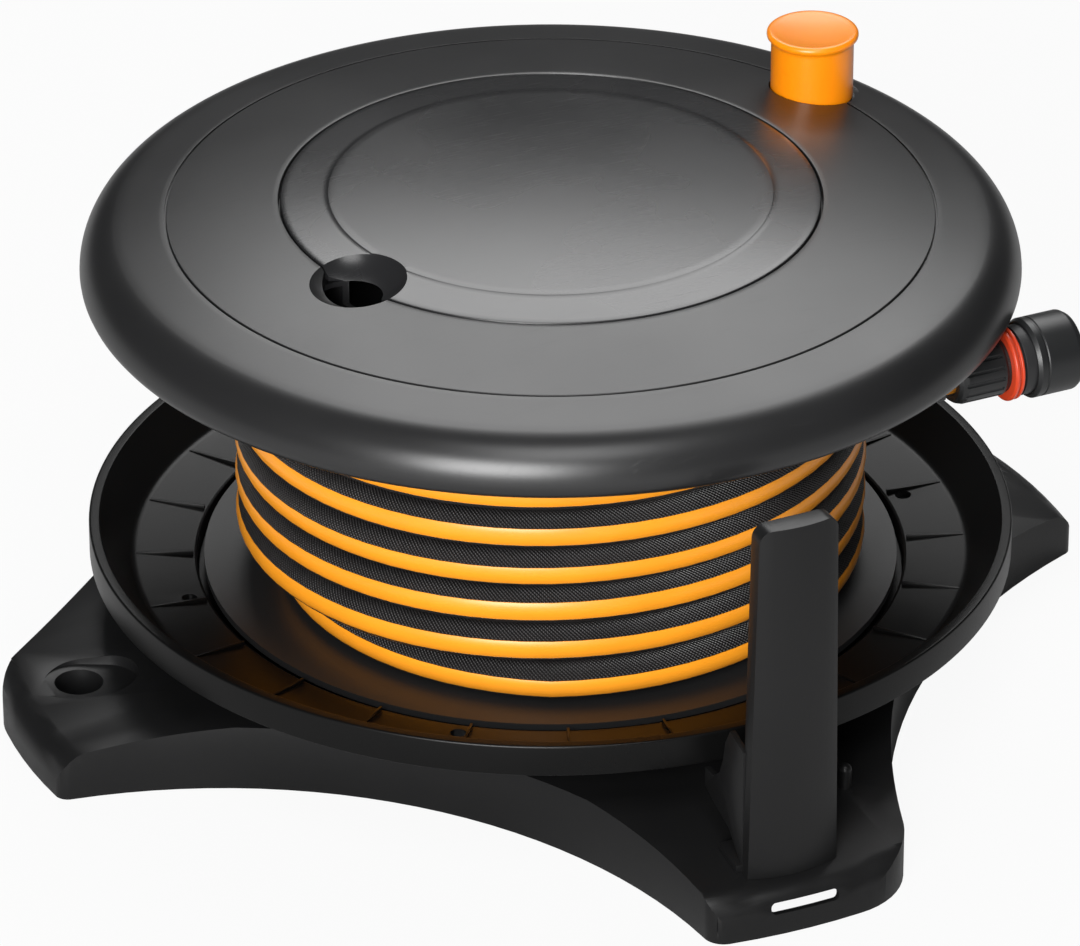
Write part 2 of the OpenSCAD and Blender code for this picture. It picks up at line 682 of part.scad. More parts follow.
lower_bush_h = lower_seal_z - ring_h / 2 - 0.5 - drum_z;
module upper_bush() {
    color(NYLON) translate([0, 0, upper_bush_z]) ring_solid(bush_r, spindle_r + run_fit, upper_bush_h);
}
module swivel_housing() {
    seal_bore = spindle_r + 0.35;
    color(GREY) difference() {
        union() {
            translate([0, 0, drum_z]) cylinder(r = housing_r, h = housing_top - drum_z);
            translate([0, 0, coil_z]) cylinder(r = housing_r + 10, h = 3);
            rotate(elbow_at) translate([0, 0, port_z]) rotate([0, 90, 0])
                cylinder(r = port_r + 2.5, h = housing_r + 8);
        }
        translate([0, 0, drum_z - 1]) cylinder(r = seal_bore, h = housing_top);
        translate([0, 0, drum_z - 1]) cylinder(r = bush_r, h = lower_bush_h + 1);
        translate([0, 0, upper_bush_z]) cylinder(r = bush_r, h = upper_bush_h + 1);
        translate([0, 0, port_z - chamber_h / 2]) cylinder(r = bush_r, h = chamber_h);
        rotate(elbow_at) translate([0, 0, port_z]) rotate([0, 90, 0]) cylinder(r = port_r, h = 60);
        around(3, housing_r + 5) translate([0, 0, coil_z]) cylinder(r = screw_r + 0.2, h = 9);
    }
}
module swivel_screws() {
    color(STEEL) around(3, housing_r + 5) translate([0, 0, coil_z + 3]) {
        cylinder(r = head_r, h = 2.2);
        translate([0, 0, -3 - drum_wall + 0.5]) cylinder(r = pilot_r, h = 6);
    }
}
module drum_retainer() {
    color(STEEL) translate([0, 0, spindle_top]) ring_solid(bush_r + 3, screw_r + 0.2, retainer_h);
}
module retainer_screw() {
    color(STEEL) translate([0, 0, spindle_top + retainer_h]) {
        cylinder(r = 4.5, h = 3);
        translate([0, 0, -screw_len + 1]) cylinder(r = pilot_r, h = screw_len);
    }
}
// Pipe from the swivel through the drum's wall, with its mouth along the innermost layer
module at_mouth(y) {
    // The mouth's pipe lies along a chord of the innermost layer's circle
    rotate(elbow_at) translate([layer1_r, 0, port_z]) rotate(asin(elbow_len / 2 / layer1_r))
        translate([0, y, 0]) rotate([-90, 0, 0]) children();
}
module outlet_elbow() {
    wall = 2;
    inner = housing_r + 8;
    color(GREY) difference() {
        union() {
            rotate(elbow_at) translate([inner, 0, port_z]) rotate([0, 90, 0])
                cylinder(r = port_r + wall, h = layer1_r - inner);
            at_mouth(0) sphere(r = elbow_r);
            at_mouth(0) cylinder(r = elbow_r, h = elbow_len);
        }
        rotate(elbow_at) translate([inner - 1, 0, port_z]) rotate([0, 90, 0])
            cylinder(r = port_r, h = layer1_r - inner + 1);
        at_mouth(0) cylinder(r = port_r, h = elbow_len + 1);
    }
}
module hose_clip() {
    color(STEEL) at_mouth(elbow_len - 11) ring_solid(elbow_r + 0.9, elbow_r, 9);
}

// Everything under a skin that follows the lid's dome, from one radius out to another
module under_dome(r_in, r_out, z_low, depth) {
    rotate_extrude() polygon(concat(
        [[r_in, z_low]],
        [for (i = [0 : 6]) let (r = r_in + (r_out - r_in) * i / 6) [r, dome_z(r) - depth]],
        [[r_out, z_low]]));
}
module at_scoop() {
    rotate(scoop_at_deg) translate([scoop_at_r, 0, scoop_z]) children();
}
module lid_profile() {
    rim_in = rim_r - lid_wall;
    lip_c = lid_r - lip_r;
    first = cover_seat_r;
    groove_w = 0.8;
    tangent_r = rim_c + rim_r * sin(rim_tilt);
    inner_r = rim_c + rim_in * sin(rim_tilt);
    skirt_r = skirt_in_r + lid_wall;
    polygon(concat(
        [[ledge_in_r, ledge_z], [cover_seat_r, ledge_z]],
        [for (i = [0 : 5]) let (r = first + (groove_r - first) * i / 5) [r, dome_z(r)]],
        [[groove_r, dome_z(groove_r) - groove_w], [groove_r + groove_w, dome_z(groove_r) - groove_w]],
        [for (i = [0 : 3]) let (r = groove_r + groove_w + (tangent_r - groove_r - groove_w) * i / 3)
            [r, dome_z(r)]],
        [for (i = [1 : rim_steps]) let (a = (90 - rim_tilt) * (1 - i / rim_steps))
            [rim_c + rim_r * cos(a), rim_z + rim_r * sin(a)]],
        [for (a = [-30 : -30 : -90]) [lip_c + lip_r * cos(a), rim_z + lip_r * sin(a)]],
        [[lip_c - lid_wall, rim_z - lip_r], [rim_c + rim_in, rim_z - lip_r + 3]],
        [for (i = [0 : rim_steps]) let (a = (90 - rim_tilt) * i / rim_steps)
            [rim_c + rim_in * cos(a), rim_z + rim_in * sin(a)]],
        [for (i = [dome_steps - 1 : -1 : 0]) let (r = skirt_r + (inner_r - skirt_r) * i / dome_steps)
            [r, dome_z(r) - lid_wall]],
        [[skirt_r, lid_z], [skirt_in_r, lid_z], [skirt_in_r, ledge_z - lid_wall],
         [ledge_in_r, ledge_z - lid_wall]]));
}
knob_at = polar(knob_at_r, knob_at_deg);
module at_knob(z) {
    translate([knob_at[0], knob_at[1], z]) children();
}
module lid_ring() {
    color(BLACK) difference() {
        union() {
            rotate_extrude($fn = 180) lid_profile();
            // Bowl of the finger scoop, knob boss, screw bosses and ribs under the skin
            intersection() {
                at_scoop() sphere(r = scoop_ball + 2.4);
                under_dome(skirt_in_r + 1, scoop_at_r + scoop_r + 12, ledge_z - lid_wall, 0.5);
            }
            intersection() {
                union() {
                    at_knob(knob_foot_z) cylinder(r = knob_r - 4, h = knob_boss_h + 1);
                    at_knob(knob_floor_z - lid_wall) cylinder(r = recess_r + 2.5, h = knob_boss_h);
                }
                under_dome(knob_at_r - 30, rim_c + 8, knob_foot_z, 0.5);
            }
            intersection() {
                union() {
                    around(lid_screw_count, screw_ring_r, lid_screw_from) translate([0, 0, lid_z])
                        cylinder(r = boss_r, h = lid_crown_h);
                    around(rib_count, skirt_in_r + 2) translate([0, -1, lid_z + 14])
                        cube([rim_c + rim_r - lid_wall - skirt_in_r - 3, 2, lid_crown_h]);
                    // Jaws that hold the hose's end under the rim
                    translate([clip_x, end_y - hose_d / 2 - 3, end_z - 5])
                        cube([clip_w, hose_d + 6, lid_crown_h]);
                }
                under_dome(skirt_in_r + 0.5, rim_c + 8, lid_z - 30, 1);
            }
        }
        at_scoop() sphere(r = scoop_ball);
        around(lid_screw_count, screw_ring_r, lid_screw_from) translate([0, 0, lid_z - 1])
            cylinder(r = pilot_r, h = 18);
        // Recess and bore for the knob
        at_knob(knob_floor_z) cylinder(r = recess_r, h = 20);
        at_knob(0) cylinder(r = knob_axle_r, h = 2 * lid_z);
        // Throat of the jaws
        translate([0, end_y, end_z]) rotate([0, 90, 0]) cylinder(r = hose_d / 2 + seat_gap, h = lid_r);
        translate([clip_x - 1, end_y - hose_d / 2 + 1.5, end_z - 10]) cube([clip_w + 2, hose_d - 3, 10]);
    }
}
module lid_screws() {
    color(STEEL) around(lid_screw_count, screw_ring_r, lid_screw_from) translate([0, 0, upper_z])
        rotate([180, 0, 0]) flat_screw(pilot_r, head_r - 0.8, screw_len);
}
module storage_bin() {
    top = ledge_z - lid_wall - seat_gap;
    rim_out = skirt_in_r - 0.6;
    rim_h = 2.4;
    color(GREY) rotate_extrude() polygon([
        [0, bin_floor_z], [bin_low_r - 3, bin_floor_z], [bin_low_r, bin_floor_z + 3], [bin_low_r, lid_z],
        [bin_r - 2, lid_z], [bin_r, lid_z + 2], [bin_r, top - rim_h], [rim_out, top - rim_h],
        [rim_out, top], [bin_r - bin_wall, top], [bin_r - bin_wall, lid_z + bin_wall + 1],
        [bin_r - bin_wall - 1, lid_z + bin_wall], [bin_low_r - bin_wall, lid_z + bin_wall],
        [bin_low_r - bin_wall, bin_floor_z + bin_wall + 1],
        [bin_low_r - bin_wall - 1, bin_floor_z + bin_wall],
        [0, bin_floor_z + bin_wall]]);
}
// Domed cover with a slightly raised middle, a rim that stands on the ledge, and half of the scoop
mid_r = cover_seat_r - 21.3;
module storage_cover() {
    skin = 2.6;
    foot = ledge_z + run_gap;
    mid_h = 3.1;
    mid_z = dome_z(mid_r) + 0.25;
    color(GLOSS) difference() {
        union() {
            rotate_extrude($fn = 180) polygon(concat(
                [for (i = [0 : 6]) let (r = mid_r * i / 6) [r, mid_z + mid_h * (1 - pow(i / 6, 2))]],
                [for (i = [0 : 4]) let (r = mid_r + 0.8 + (cover_r - mid_r - 0.8) * i / 4) [r, dome_z(r)]],
                [[cover_r, foot], [cover_r - skin, foot], [cover_r - skin, dome_z(cover_r) - skin]],
                [for (i = [6 : -1 : 0]) let (r = mid_r * i / 6)
                    [r, mid_z + mid_h * (1 - pow(i / 6, 2)) - skin]]));
            intersection() {
                at_scoop() sphere(r = scoop_ball + 2.2);
                under_dome(scoop_at_r - scoop_r - 16, cover_r, foot, 0.6);
            }
        }
        at_scoop() sphere(r = scoop_ball);
    }
}

module knob_axle() {
    color(STEEL) difference() {
        at_knob(knob_foot_z - 6) cylinder(r = knob_axle_r, h = knob_axle_top - knob_foot_z + 6);
        at_knob(knob_axle_top - 10) cylinder(r = pilot_r, h = 11);
    }
}
module knob_nut() {
    color(STEEL) at_knob(knob_foot_z - 5) difference() {
        cylinder(r = knob_axle_r + 4.5, h = 5, $fn = 6);
        translate([0, 0, -1]) cylinder(r = knob_axle_r, h = 7);
    }
}
module knob_grip() {
    color(ORANGE) difference() {
        at_knob(knob_z) {
            cylinder(r1 = knob_r - 1, r2 = knob_r, h = 1);
            translate([0, 0, 1 - eps]) cylinder(r = knob_r, h = knob_grip_top - knob_z - 1 + eps);
        }
        at_knob(knob_z - 1) cylinder(r = knob_axle_r + run_fit, h = knob_h);
        at_knob(knob_axle_top - seat_gap) cylinder(r = knob_r - 6, h = knob_h);
    }
}
module knob_cap() {
    dish = 120;
    color(ORANGE) difference() {
        at_knob(knob_grip_top) {
            cylinder(r = knob_cap_r - 0.8, h = knob_cap_h);
            translate([0, 0, 0.8]) cylinder(r = knob_cap_r, h = knob_cap_h - 1.6);
        }
        at_knob(knob_grip_top + knob_cap_h - 1.2 + dish) sphere(r = dish, $fn = 180);
    }
}
module knob_screw() {
    color(STEEL) at_knob(knob_axle_top) {
        cylinder(r = knob_axle_r + 2.5, h = 2.5);
        translate([0, 0, -9]) cylinder(r = pilot_r, h = 9 + eps);
    }
}

// Inner layers as one plain ring, notched where the outer layer climbs out of them
module hose_core() {
    notch_h = hose_d + 1.2;
    in_r = layer1_r - hose_d / 2;
    notch_r = layer2_r - hose_d / 2 - core_gap;
    color(BLACK) difference() {
        translate([0, 0, coil_z]) rotate_extrude() polygon([
            [in_r, 0], [core_r - 2, 0], [core_r, 2], [core_r, tail_z - coil_z + 3],
            [core_r - 4, tail_z - coil_z + hose_d / 2 - 1], [in_r, tail_z - coil_z + hose_d / 2 - 1]]);
        rotate(wind_at - wind_lead) translate([0, 0, coil_z - 1]) linear_extrude(notch_h + 1) difference() {
            translate([-20, -hose_d]) square([layer3_r + 40, layer3_r + 40]);
            circle(r = notch_r);
        }
        // Room for the elbow and its clip
        rotate(elbow_at) translate([in_r - 2, -elbow_r - 3, coil_z - 1])
            cube([layer1_r - in_r + elbow_r + 4, elbow_r + 5 + elbow_len, hose_d + 3]);
    }
}
module hose_winding() {
    color(BLACK) tube(WIND, hose_d / 2, winding_sides);
}
module hose_tail() {
    color(BLACK) tube([for (p = TAIL) [hose_d + p[0] * (nut_x - hose_d) / nut_x, end_y, tail_z + p[1]]],
                      hose_d / 2, tail_sides);
}

module along_hose(x) {
    translate([x, end_y, end_z]) rotate([0, 90, 0]) children();
}
module connector_nut() {
    nut_r = hose_d / 2 + 4.3;
    len = collar_x - nut_x;
    flutes = 16;
    color(BLACK) difference() {
        union() {
            along_hose(nut_x) cylinder(r1 = nut_r - 1.5, r2 = nut_r, h = 3);
            along_hose(nut_x + 3 - eps) cylinder(r = nut_r, h = len - 3 + eps);
        }
        along_hose(nut_x + nut_floor) cylinder(r = core_tube_r + 0.2, h = len);
        along_hose(nut_x - 1) cylinder(r = hose_d / 2 - 2, h = len);
        along_hose(nut_x + 2) around(flutes, nut_r + 0.4) cylinder(r = 1, h = len - 5, $fn = 16);
    }
}
// Orange rings, with a neck that reaches into the sleeve by the sleeve's travel
module connector_collar() {
    neck_x = collar_x + ring_w + ring_gap;
    color(ORANGE) difference() {
        union() {
            along_hose(collar_x) cylinder(r = collar_r, h = ring_w);
            along_hose(collar_x + ring_w - eps) cylinder(r = neck_r - 1.2, h = ring_gap + 2 * eps);
            along_hose(neck_x) cylinder(r = neck_r, h = sleeve_x - neck_x + sleeve_travel);
        }
        along_hose(collar_x - 1) cylinder(r = core_tube_r + 1, h = mouth_x);
    }
}
// Inner tube with the barrel that the sleeve slides on, and the lip that stops the sleeve
module connector_body() {
    lip = 1.2;
    color(GREY) difference() {
        union() {
            along_hose(nut_x + nut_floor) cylinder(r = core_tube_r, h = mouth_x - lip - nut_x - nut_floor);
            along_hose(sleeve_x + sleeve_travel + seat_gap)
                cylinder(r = barrel_r, h = mouth_x - lip - sleeve_x - sleeve_travel - seat_gap);
            along_hose(mouth_x - 2 * lip) cylinder(r = barrel_r + lip, h = lip);
        }
        along_hose(sleeve_x - 6) cylinder(r = mouth_r, h = 40);
        along_hose(nut_x) cylinder(r = mouth_r - 4, h = 60);
    }
}
module connector_sleeve() {
    chamfer = 1.6;
    len = mouth_x - sleeve_x;
    front_wall = 2.2;
    front = 2.6;
    color(BLACK) difference() {
        union() {
            along_hose(sleeve_x) cylinder(r1 = sleeve_r - 1, r2 = sleeve_r, h = 1.5);
            along_hose(sleeve_x + 1.5 - eps) cylinder(r = sleeve_r, h = len - chamfer - 1.5 + 2 * eps);
            along_hose(mouth_x - chamfer) cylinder(r1 = sleeve_r, r2 = sleeve_r - chamfer, h = chamfer);
        }
        along_hose(sleeve_x - 1) cylinder(r = neck_r + seat_gap, h = len + 1 - front - front_wall);
        along_hose(sleeve_x) cylinder(r = barrel_r + 0.2, h = len + 1);
        along_hose(mouth_x - front) cylinder(r = barrel_r + 1.5, h = len);
    }
}

base_stand();
tray();
tray_screws();
hose_guide_post();
guide_screws();
spindle();
spindle_screws();
inlet_pipe();
inlet_nipple();
inlet_seal();
thrust_washer();
swivel_seals();
drum();
lower_bush();
upper_bush();
swivel_housing();
swivel_screws();
drum_retainer();
retainer_screw();
outlet_elbow();
hose_clip();
lid_ring();
lid_screws();
storage_bin();
storage_cover();
knob_axle();
knob_nut();
knob_grip();
knob_cap();
knob_screw();
hose_core();
hose_winding();
hose_tail();
connector_nut();
connector_collar();
connector_body();
connector_sleeve();
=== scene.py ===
"""A garden hose reel: star-shaped stand, tray, wound hose, domed lid, crank knob and hose connector.

Each group of pieces has its own operator in the sidebar of the 3D view, and its sizes are in the panel.
Sizes are in millimetres where they repeat the part's own source, and MM turns them into metres.
"""
import math

import bpy
from bpy.props import FloatProperty, FloatVectorProperty, IntProperty, PointerProperty
from bpy.types import Operator, Panel, PropertyGroup
from mathutils import Matrix, Vector


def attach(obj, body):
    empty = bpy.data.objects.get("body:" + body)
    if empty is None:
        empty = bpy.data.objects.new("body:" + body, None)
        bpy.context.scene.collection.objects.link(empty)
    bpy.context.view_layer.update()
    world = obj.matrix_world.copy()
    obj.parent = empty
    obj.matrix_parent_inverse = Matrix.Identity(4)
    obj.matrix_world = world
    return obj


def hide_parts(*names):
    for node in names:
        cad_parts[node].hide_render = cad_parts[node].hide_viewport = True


bl_info = {
    "name": "Garden Hose Reel",
    "version": (1, 0, 0),
    "blender": (4, 5, 0),
    "location": "View3D > Sidebar > Hose Reel",
    "description": "Builds the pieces and finishes of a garden hose reel over its fixed frame",
    "category": "Object",
}

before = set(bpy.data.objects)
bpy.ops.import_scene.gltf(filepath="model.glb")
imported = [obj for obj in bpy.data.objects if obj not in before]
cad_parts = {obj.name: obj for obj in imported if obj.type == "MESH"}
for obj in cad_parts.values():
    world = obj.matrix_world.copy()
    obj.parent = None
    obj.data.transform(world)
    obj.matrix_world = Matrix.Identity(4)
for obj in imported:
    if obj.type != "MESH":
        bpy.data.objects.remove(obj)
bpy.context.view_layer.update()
MM = 0.001
# Points nearer than MERGE metres are one point, faces that turn less than FLAT_DEG are one face, and edges
# that turn more than EDGE_DEG are rounded
MERGE = 2e-6
FLAT_DEG = 0.6
EDGE_DEG = 38

# Lid, as the frame has it, in millimetres
LID_Z = 180.6
CROWN_Z = LID_Z + 46.3
DOME_R = 952
LID_R = 200
RIM_R = 20
RIM_C = LID_R - RIM_R
RIM_TILT = math.asin(RIM_C / (DOME_R - RIM_R))
RIM_Z = CROWN_Z - DOME_R + (DOME_R - RIM_R) * math.cos(RIM_TILT)
LID_WALL = 3
SEAT_R = 115.3
SKIRT_R = SEAT_R + LID_WALL
GROOVE_R = 163
GROOVE_DEPTH = 1.2
LIP_R = 6
LEDGE_R = 106
LEDGE_Z = CROWN_Z - 12.5


def dome_z(r):
    """Height of the lid's dome at a distance from the axis."""
    return CROWN_Z - DOME_R + math.sqrt(DOME_R * DOME_R - r * r)


def on_dome(radii, under=0):
    """Outline points on the lid's dome, or at a depth under it."""
    return [(r, dome_z(r) - under) for r in radii]


# Finger scoop: its direction, its distance from the axis, its size, and the ball that hollows it
SCOOP_DEG, SCOOP_AT, SCOOP_R, SCOOP_DEPTH = -161, 114, 20.5, 8
SCOOP_BALL = (SCOOP_R ** 2 + SCOOP_DEPTH ** 2) / (2 * SCOOP_DEPTH)
# Gap under the fingers: how far from the axis each piece's upright cut stands, and its radius
LID_GAP, COVER_GAP, BIN_GAP = (SEAT_R - 12, 21), (SEAT_R + 10, 20), (SEAT_R - 2, 19)
GAP_LOW = LEDGE_Z - 12
CUP_WALL = 2.5

# Crank knob
KNOB_R, KNOB_H, KNOB_AT_R, KNOB_DEG = 18, 32, 160, 19.5
RECESS_R = KNOB_R + 0.8
KNOB_AT = (KNOB_AT_R * math.cos(math.radians(KNOB_DEG)), KNOB_AT_R * math.sin(math.radians(KNOB_DEG)))
KNOB_FLOOR = dome_z(KNOB_AT_R) - 3

# Hose: the layers of its winding, and the line of its end, along which the connector's parts stand
PITCH = 18.05
LAYER_R = (91.1, 109.15, 127.2)
TURN1_Z = 58.0
FIRST_LIFT = 0.6
END_Y, END_Z = -127.2, 166.95
TAIL = ((17.4, 0), (30, 0), (60, -0.2), (85, -0.7), (107, -1.2), (124, -1.2))
MOUTH_X = 181.5
SLEEVE_X = MOUTH_X - 22.5
COLLAR_X = MOUTH_X - 33
NUT_X = 124
SLEEVE_R = 17.25

# The photograph's angle: where the camera stands and looks in metres, and its lens in millimetres
CAMERA_AT, CAMERA_AIM, CAMERA_LENS = (-1.3007, -2.7582, 1.8025), (-0.0041, 0.0019, 0.0849), 270.5

# Lamps: name, place and aim in metres, width in metres, power in watts
LAMPS = (
    ("overhead_softbox", (0.8, 1.35, 2.2), (0, 0, 0.15), 1.8, 46),
    ("upper_front", (-0.5, -1.35, 2.3), (0, 0, 0.15), 1.2, 24),
    ("front_key", (-2.0, -2.5, 1.2), (0, 0, 0.1), 1.6, 160),
)
WORLD_GLOW = 0.05
# The camera sees this share of the floor as plain white, and the rest holds the shadow
FLOOR_WHITE = 0.93


# Sizes and colours a user would change

class HoseSettings(PropertyGroup):
    diameter: FloatProperty(name="Hose diameter", description="Outside diameter of the hose",
                            default=0.0174, min=0.012, max=0.0175, unit="LENGTH")
    stripe: FloatProperty(name="Stripe width", description="Degrees that the stripe covers round the hose",
                          default=58, min=10, max=90)
    stripe_low: FloatProperty(name="Stripe turn", default=-5, min=-40, max=40,
                              description="Degrees that the stripe sits below the outermost line")
    rings: IntProperty(name="Rings in a turn", description="Rings of the hose's skin in each turn",
                       default=72, min=24, max=120)
    black: FloatVectorProperty(name="Hose colour", description="Colour of the ribbed skin", subtype="COLOR",
                               default=(0.011, 0.01, 0.01), min=0, max=1)
    orange: FloatVectorProperty(name="Stripe colour", description="Colour of the stripe", subtype="COLOR",
                                default=(0.92, 0.33, 0.016), min=0, max=1)


class LidSettings(PropertyGroup):
    lid_tone: FloatVectorProperty(name="Lid colour", description="Colour of the satin lid", subtype="COLOR",
                                  default=(0.012, 0.012, 0.0124), min=0, max=1)
    cover_tone: FloatVectorProperty(name="Cover colour", description="Colour of the glossier cover",
                                    subtype="COLOR", default=(0.012, 0.012, 0.0128), min=0, max=1)
    steps: IntProperty(name="Lid steps", description="Steps round the lid and cover", default=256,
                       min=96, max=360)
    knob: FloatVectorProperty(name="Knob colour", description="Colour of the crank knob", subtype="COLOR",
                              default=(0.93, 0.26, 0.002), min=0, max=1)


class StandSettings(PropertyGroup):
    tone: FloatVectorProperty(name="Stand colour", description="Colour of the moulded stand", subtype="COLOR",
                              default=(0.0065, 0.0065, 0.0067), min=0, max=1)
    tray_tone: FloatVectorProperty(name="Tray colour", description="Colour of the tray", subtype="COLOR",
                                   default=(0.003, 0.003, 0.003), min=0, max=1)
    edge: FloatProperty(name="Edge rounding", description="Radius of the stand's moulded edges",
                        default=0.0012, min=0.0002, max=0.002, unit="LENGTH")


class StageSettings(PropertyGroup):
    floor: FloatVectorProperty(name="Floor colour", description="Colour of the plain floor", subtype="COLOR",
                               default=(0.5, 0.5, 0.5), min=0, max=1)
    floor_size: FloatProperty(name="Floor size", description="Width of the floor", default=24, min=4, max=60,
                              unit="LENGTH")


# Small modelling helpers

def clear_selection():
    """Leaves edit mode and selects nothing."""
    if bpy.context.object and bpy.context.object.mode != "OBJECT":
        bpy.ops.object.mode_set(mode="OBJECT")
    bpy.ops.object.select_all(action="DESELECT")


def activate(obj):
    """Selects this piece alone and makes it the active one."""
    clear_selection()
    obj.select_set(True)
    bpy.context.view_layer.objects.active = obj


def fillet(corners, steps=5):
    """Outline through (r, z, fillet) corners, each rounded by its fillet."""
    points = []
    count = len(corners)
    for i, (r, z, size) in enumerate(corners):
        here = Vector((r, z))
        back = Vector(corners[i - 1][:2]) - here
        ahead = Vector(corners[(i + 1) % count][:2]) - here
        if size <= 0 or back.length < 1e-6 or ahead.length < 1e-6:
            points.append((r, z))
            continue
        angle = back.angle(ahead)
        # A fillet takes less than half of each side, so that neighbours don't meet
        reach = min(size / math.tan(angle / 2), 0.49 * back.length, 0.49 * ahead.length)
        first, last = here + back.normalized() * reach, here + ahead.normalized() * reach
        for k in range(steps + 1):
            t = k / steps
            points.append(tuple(first * (1 - t) ** 2 + here * 2 * t * (1 - t) + last * t * t))
    return points


def arc(r, z, radius, first, last, steps):
    """Outline points on an arc round (r, z), from the first angle to the last."""
    angles = [first + (last - first) * i / steps for i in range(steps + 1)]
    return [(r + radius * math.cos(a), z + radius * math.sin(a)) for a in angles]


def about_z(centre=(0, 0)):
    """Places (r, z) outline points in the plane that is spun about an upright axis."""
    return (lambda r, z: Vector((centre[0] + r, centre[1], z)) * MM,
            Vector((centre[0], centre[1], 0)) * MM, (0, 0, 1))


def about_hose():
    """Places (r, x) outline points in the plane that is spun about the hose end's line."""
    return (lambda r, x: Vector((x, END_Y - r, END_Z)) * MM, Vector((0, END_Y, END_Z)) * MM, (1, 0, 0))


def turned(name, outline, way, steps, closed=True):
    """A turned piece: a point is extruded along the outline, which is then spun once round."""
    place, centre, axis = way
    points = [place(*p) for p in outline]
    if closed:
        points.append(points[0])
    clear_selection()
    bpy.ops.mesh.primitive_plane_add(size=MM, location=(0, 0, 0))
    obj = bpy.context.object
    obj.name = obj.data.name = name
    bpy.ops.object.mode_set(mode="EDIT")
    bpy.ops.mesh.merge(type="CENTER")
    bpy.ops.transform.translate(value=points[0])
    for here, there in zip(points, points[1:]):
        bpy.ops.mesh.extrude_vertices_move(TRANSFORM_OT_translate={"value": there - here})
    bpy.ops.mesh.select_all(action="SELECT")
    bpy.ops.mesh.spin(steps=steps, angle=2 * math.pi, center=centre, axis=axis)
    bpy.ops.mesh.select_all(action="SELECT")
    bpy.ops.mesh.remove_doubles(threshold=MERGE)
    bpy.ops.mesh.normals_make_consistent(inside=False)
    bpy.ops.object.mode_set(mode="OBJECT")
    return obj


def smooth(obj, angle=32):
    """Smooth shading, with edges that turn more than the angle kept sharp."""
    activate(obj)
    bpy.ops.object.shade_smooth_by_angle(angle=math.radians(angle))


def combine(obj, other, how):
    """Joins, clips or cuts the piece with another one, which is then deleted."""
    activate(obj)
    bpy.ops.object.modifier_add(type="BOOLEAN")
    step = obj.modifiers[-1]
    step.operation, step.object, step.solver = how, other, "EXACT"
    bpy.ops.object.modifier_apply(modifier=step.name)
    bpy.data.objects.remove(other, do_unlink=True)


def cut(obj, cutter):
    """Takes the cutter out of the piece."""
    combine(obj, cutter, "DIFFERENCE")


def join(obj, others):
    """Makes the others part of the piece's mesh."""
    activate(obj)
    for other in others:
        other.select_set(True)
    bpy.ops.object.join()


def rounded_block(name, low, high, radius, turn=0, segments=3):
    """A block between two corners in millimetres, with rounded edges, turned about the upright axis."""
    size = [b - a for a, b in zip(low, high)]
    middle = Vector([(a + b) / 2 for a, b in zip(low, high)]) * MM
    clear_selection()
    bpy.ops.mesh.primitive_cube_add(size=1, location=middle)
    obj = bpy.context.object
    obj.name = obj.data.name = name
    obj.scale = [s * MM for s in size]
    bpy.ops.object.transform_apply(location=True, rotation=False, scale=True)
    bpy.ops.object.mode_set(mode="EDIT")
    bpy.ops.mesh.select_all(action="SELECT")
    bpy.ops.mesh.bevel(offset=radius * MM, segments=segments, affect="EDGES")
    bpy.ops.object.mode_set(mode="OBJECT")
    if turn:
        obj.data.transform(Matrix.Rotation(math.radians(turn), 4, "Z"))
    return obj


def rod(radius, depth, place, vertices=32, **turn):
    """A plain rod in millimetres, to cut with or to join to a piece."""
    clear_selection()
    bpy.ops.mesh.primitive_cylinder_add(vertices=vertices, radius=radius * MM, depth=depth * MM,
                                        location=Vector(place) * MM, **turn)
    return bpy.context.object


def softened(name, node, radius, segments=3):
    """A copy of a frame node with merged points and rounded edges, which stands for the node."""
    activate(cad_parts[node])
    bpy.ops.object.duplicate()
    obj = bpy.context.object
    obj.parent = None
    obj.matrix_world = Matrix.Identity(4)
    obj.name = obj.data.name = name
    obj.data.materials.clear()
    for key in list(obj.keys()):
        del obj[key]
    bpy.ops.object.mode_set(mode="EDIT")
    bpy.ops.mesh.select_all(action="SELECT")
    bpy.ops.mesh.remove_doubles(threshold=MERGE)
    bpy.ops.mesh.dissolve_limited(angle_limit=math.radians(FLAT_DEG))
    bpy.ops.object.mode_set(mode="OBJECT")
    bpy.ops.object.modifier_add(type="BEVEL")
    step = obj.modifiers[-1]
    step.width, step.segments, step.limit_method = radius, segments, "ANGLE"
    step.angle_limit, step.harden_normals = math.radians(EDGE_DEG), False
    bpy.ops.object.modifier_apply(modifier=step.name)
    return obj


def stand_for(obj, body, slot, material, *nodes):
    """The piece rides on its body, takes its finish and hides the frame's nodes that it replaces."""
    obj.data.materials.clear()
    obj.data.materials.append(material)
    if nodes:
        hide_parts(*nodes)
    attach(obj, body)


# Finishes

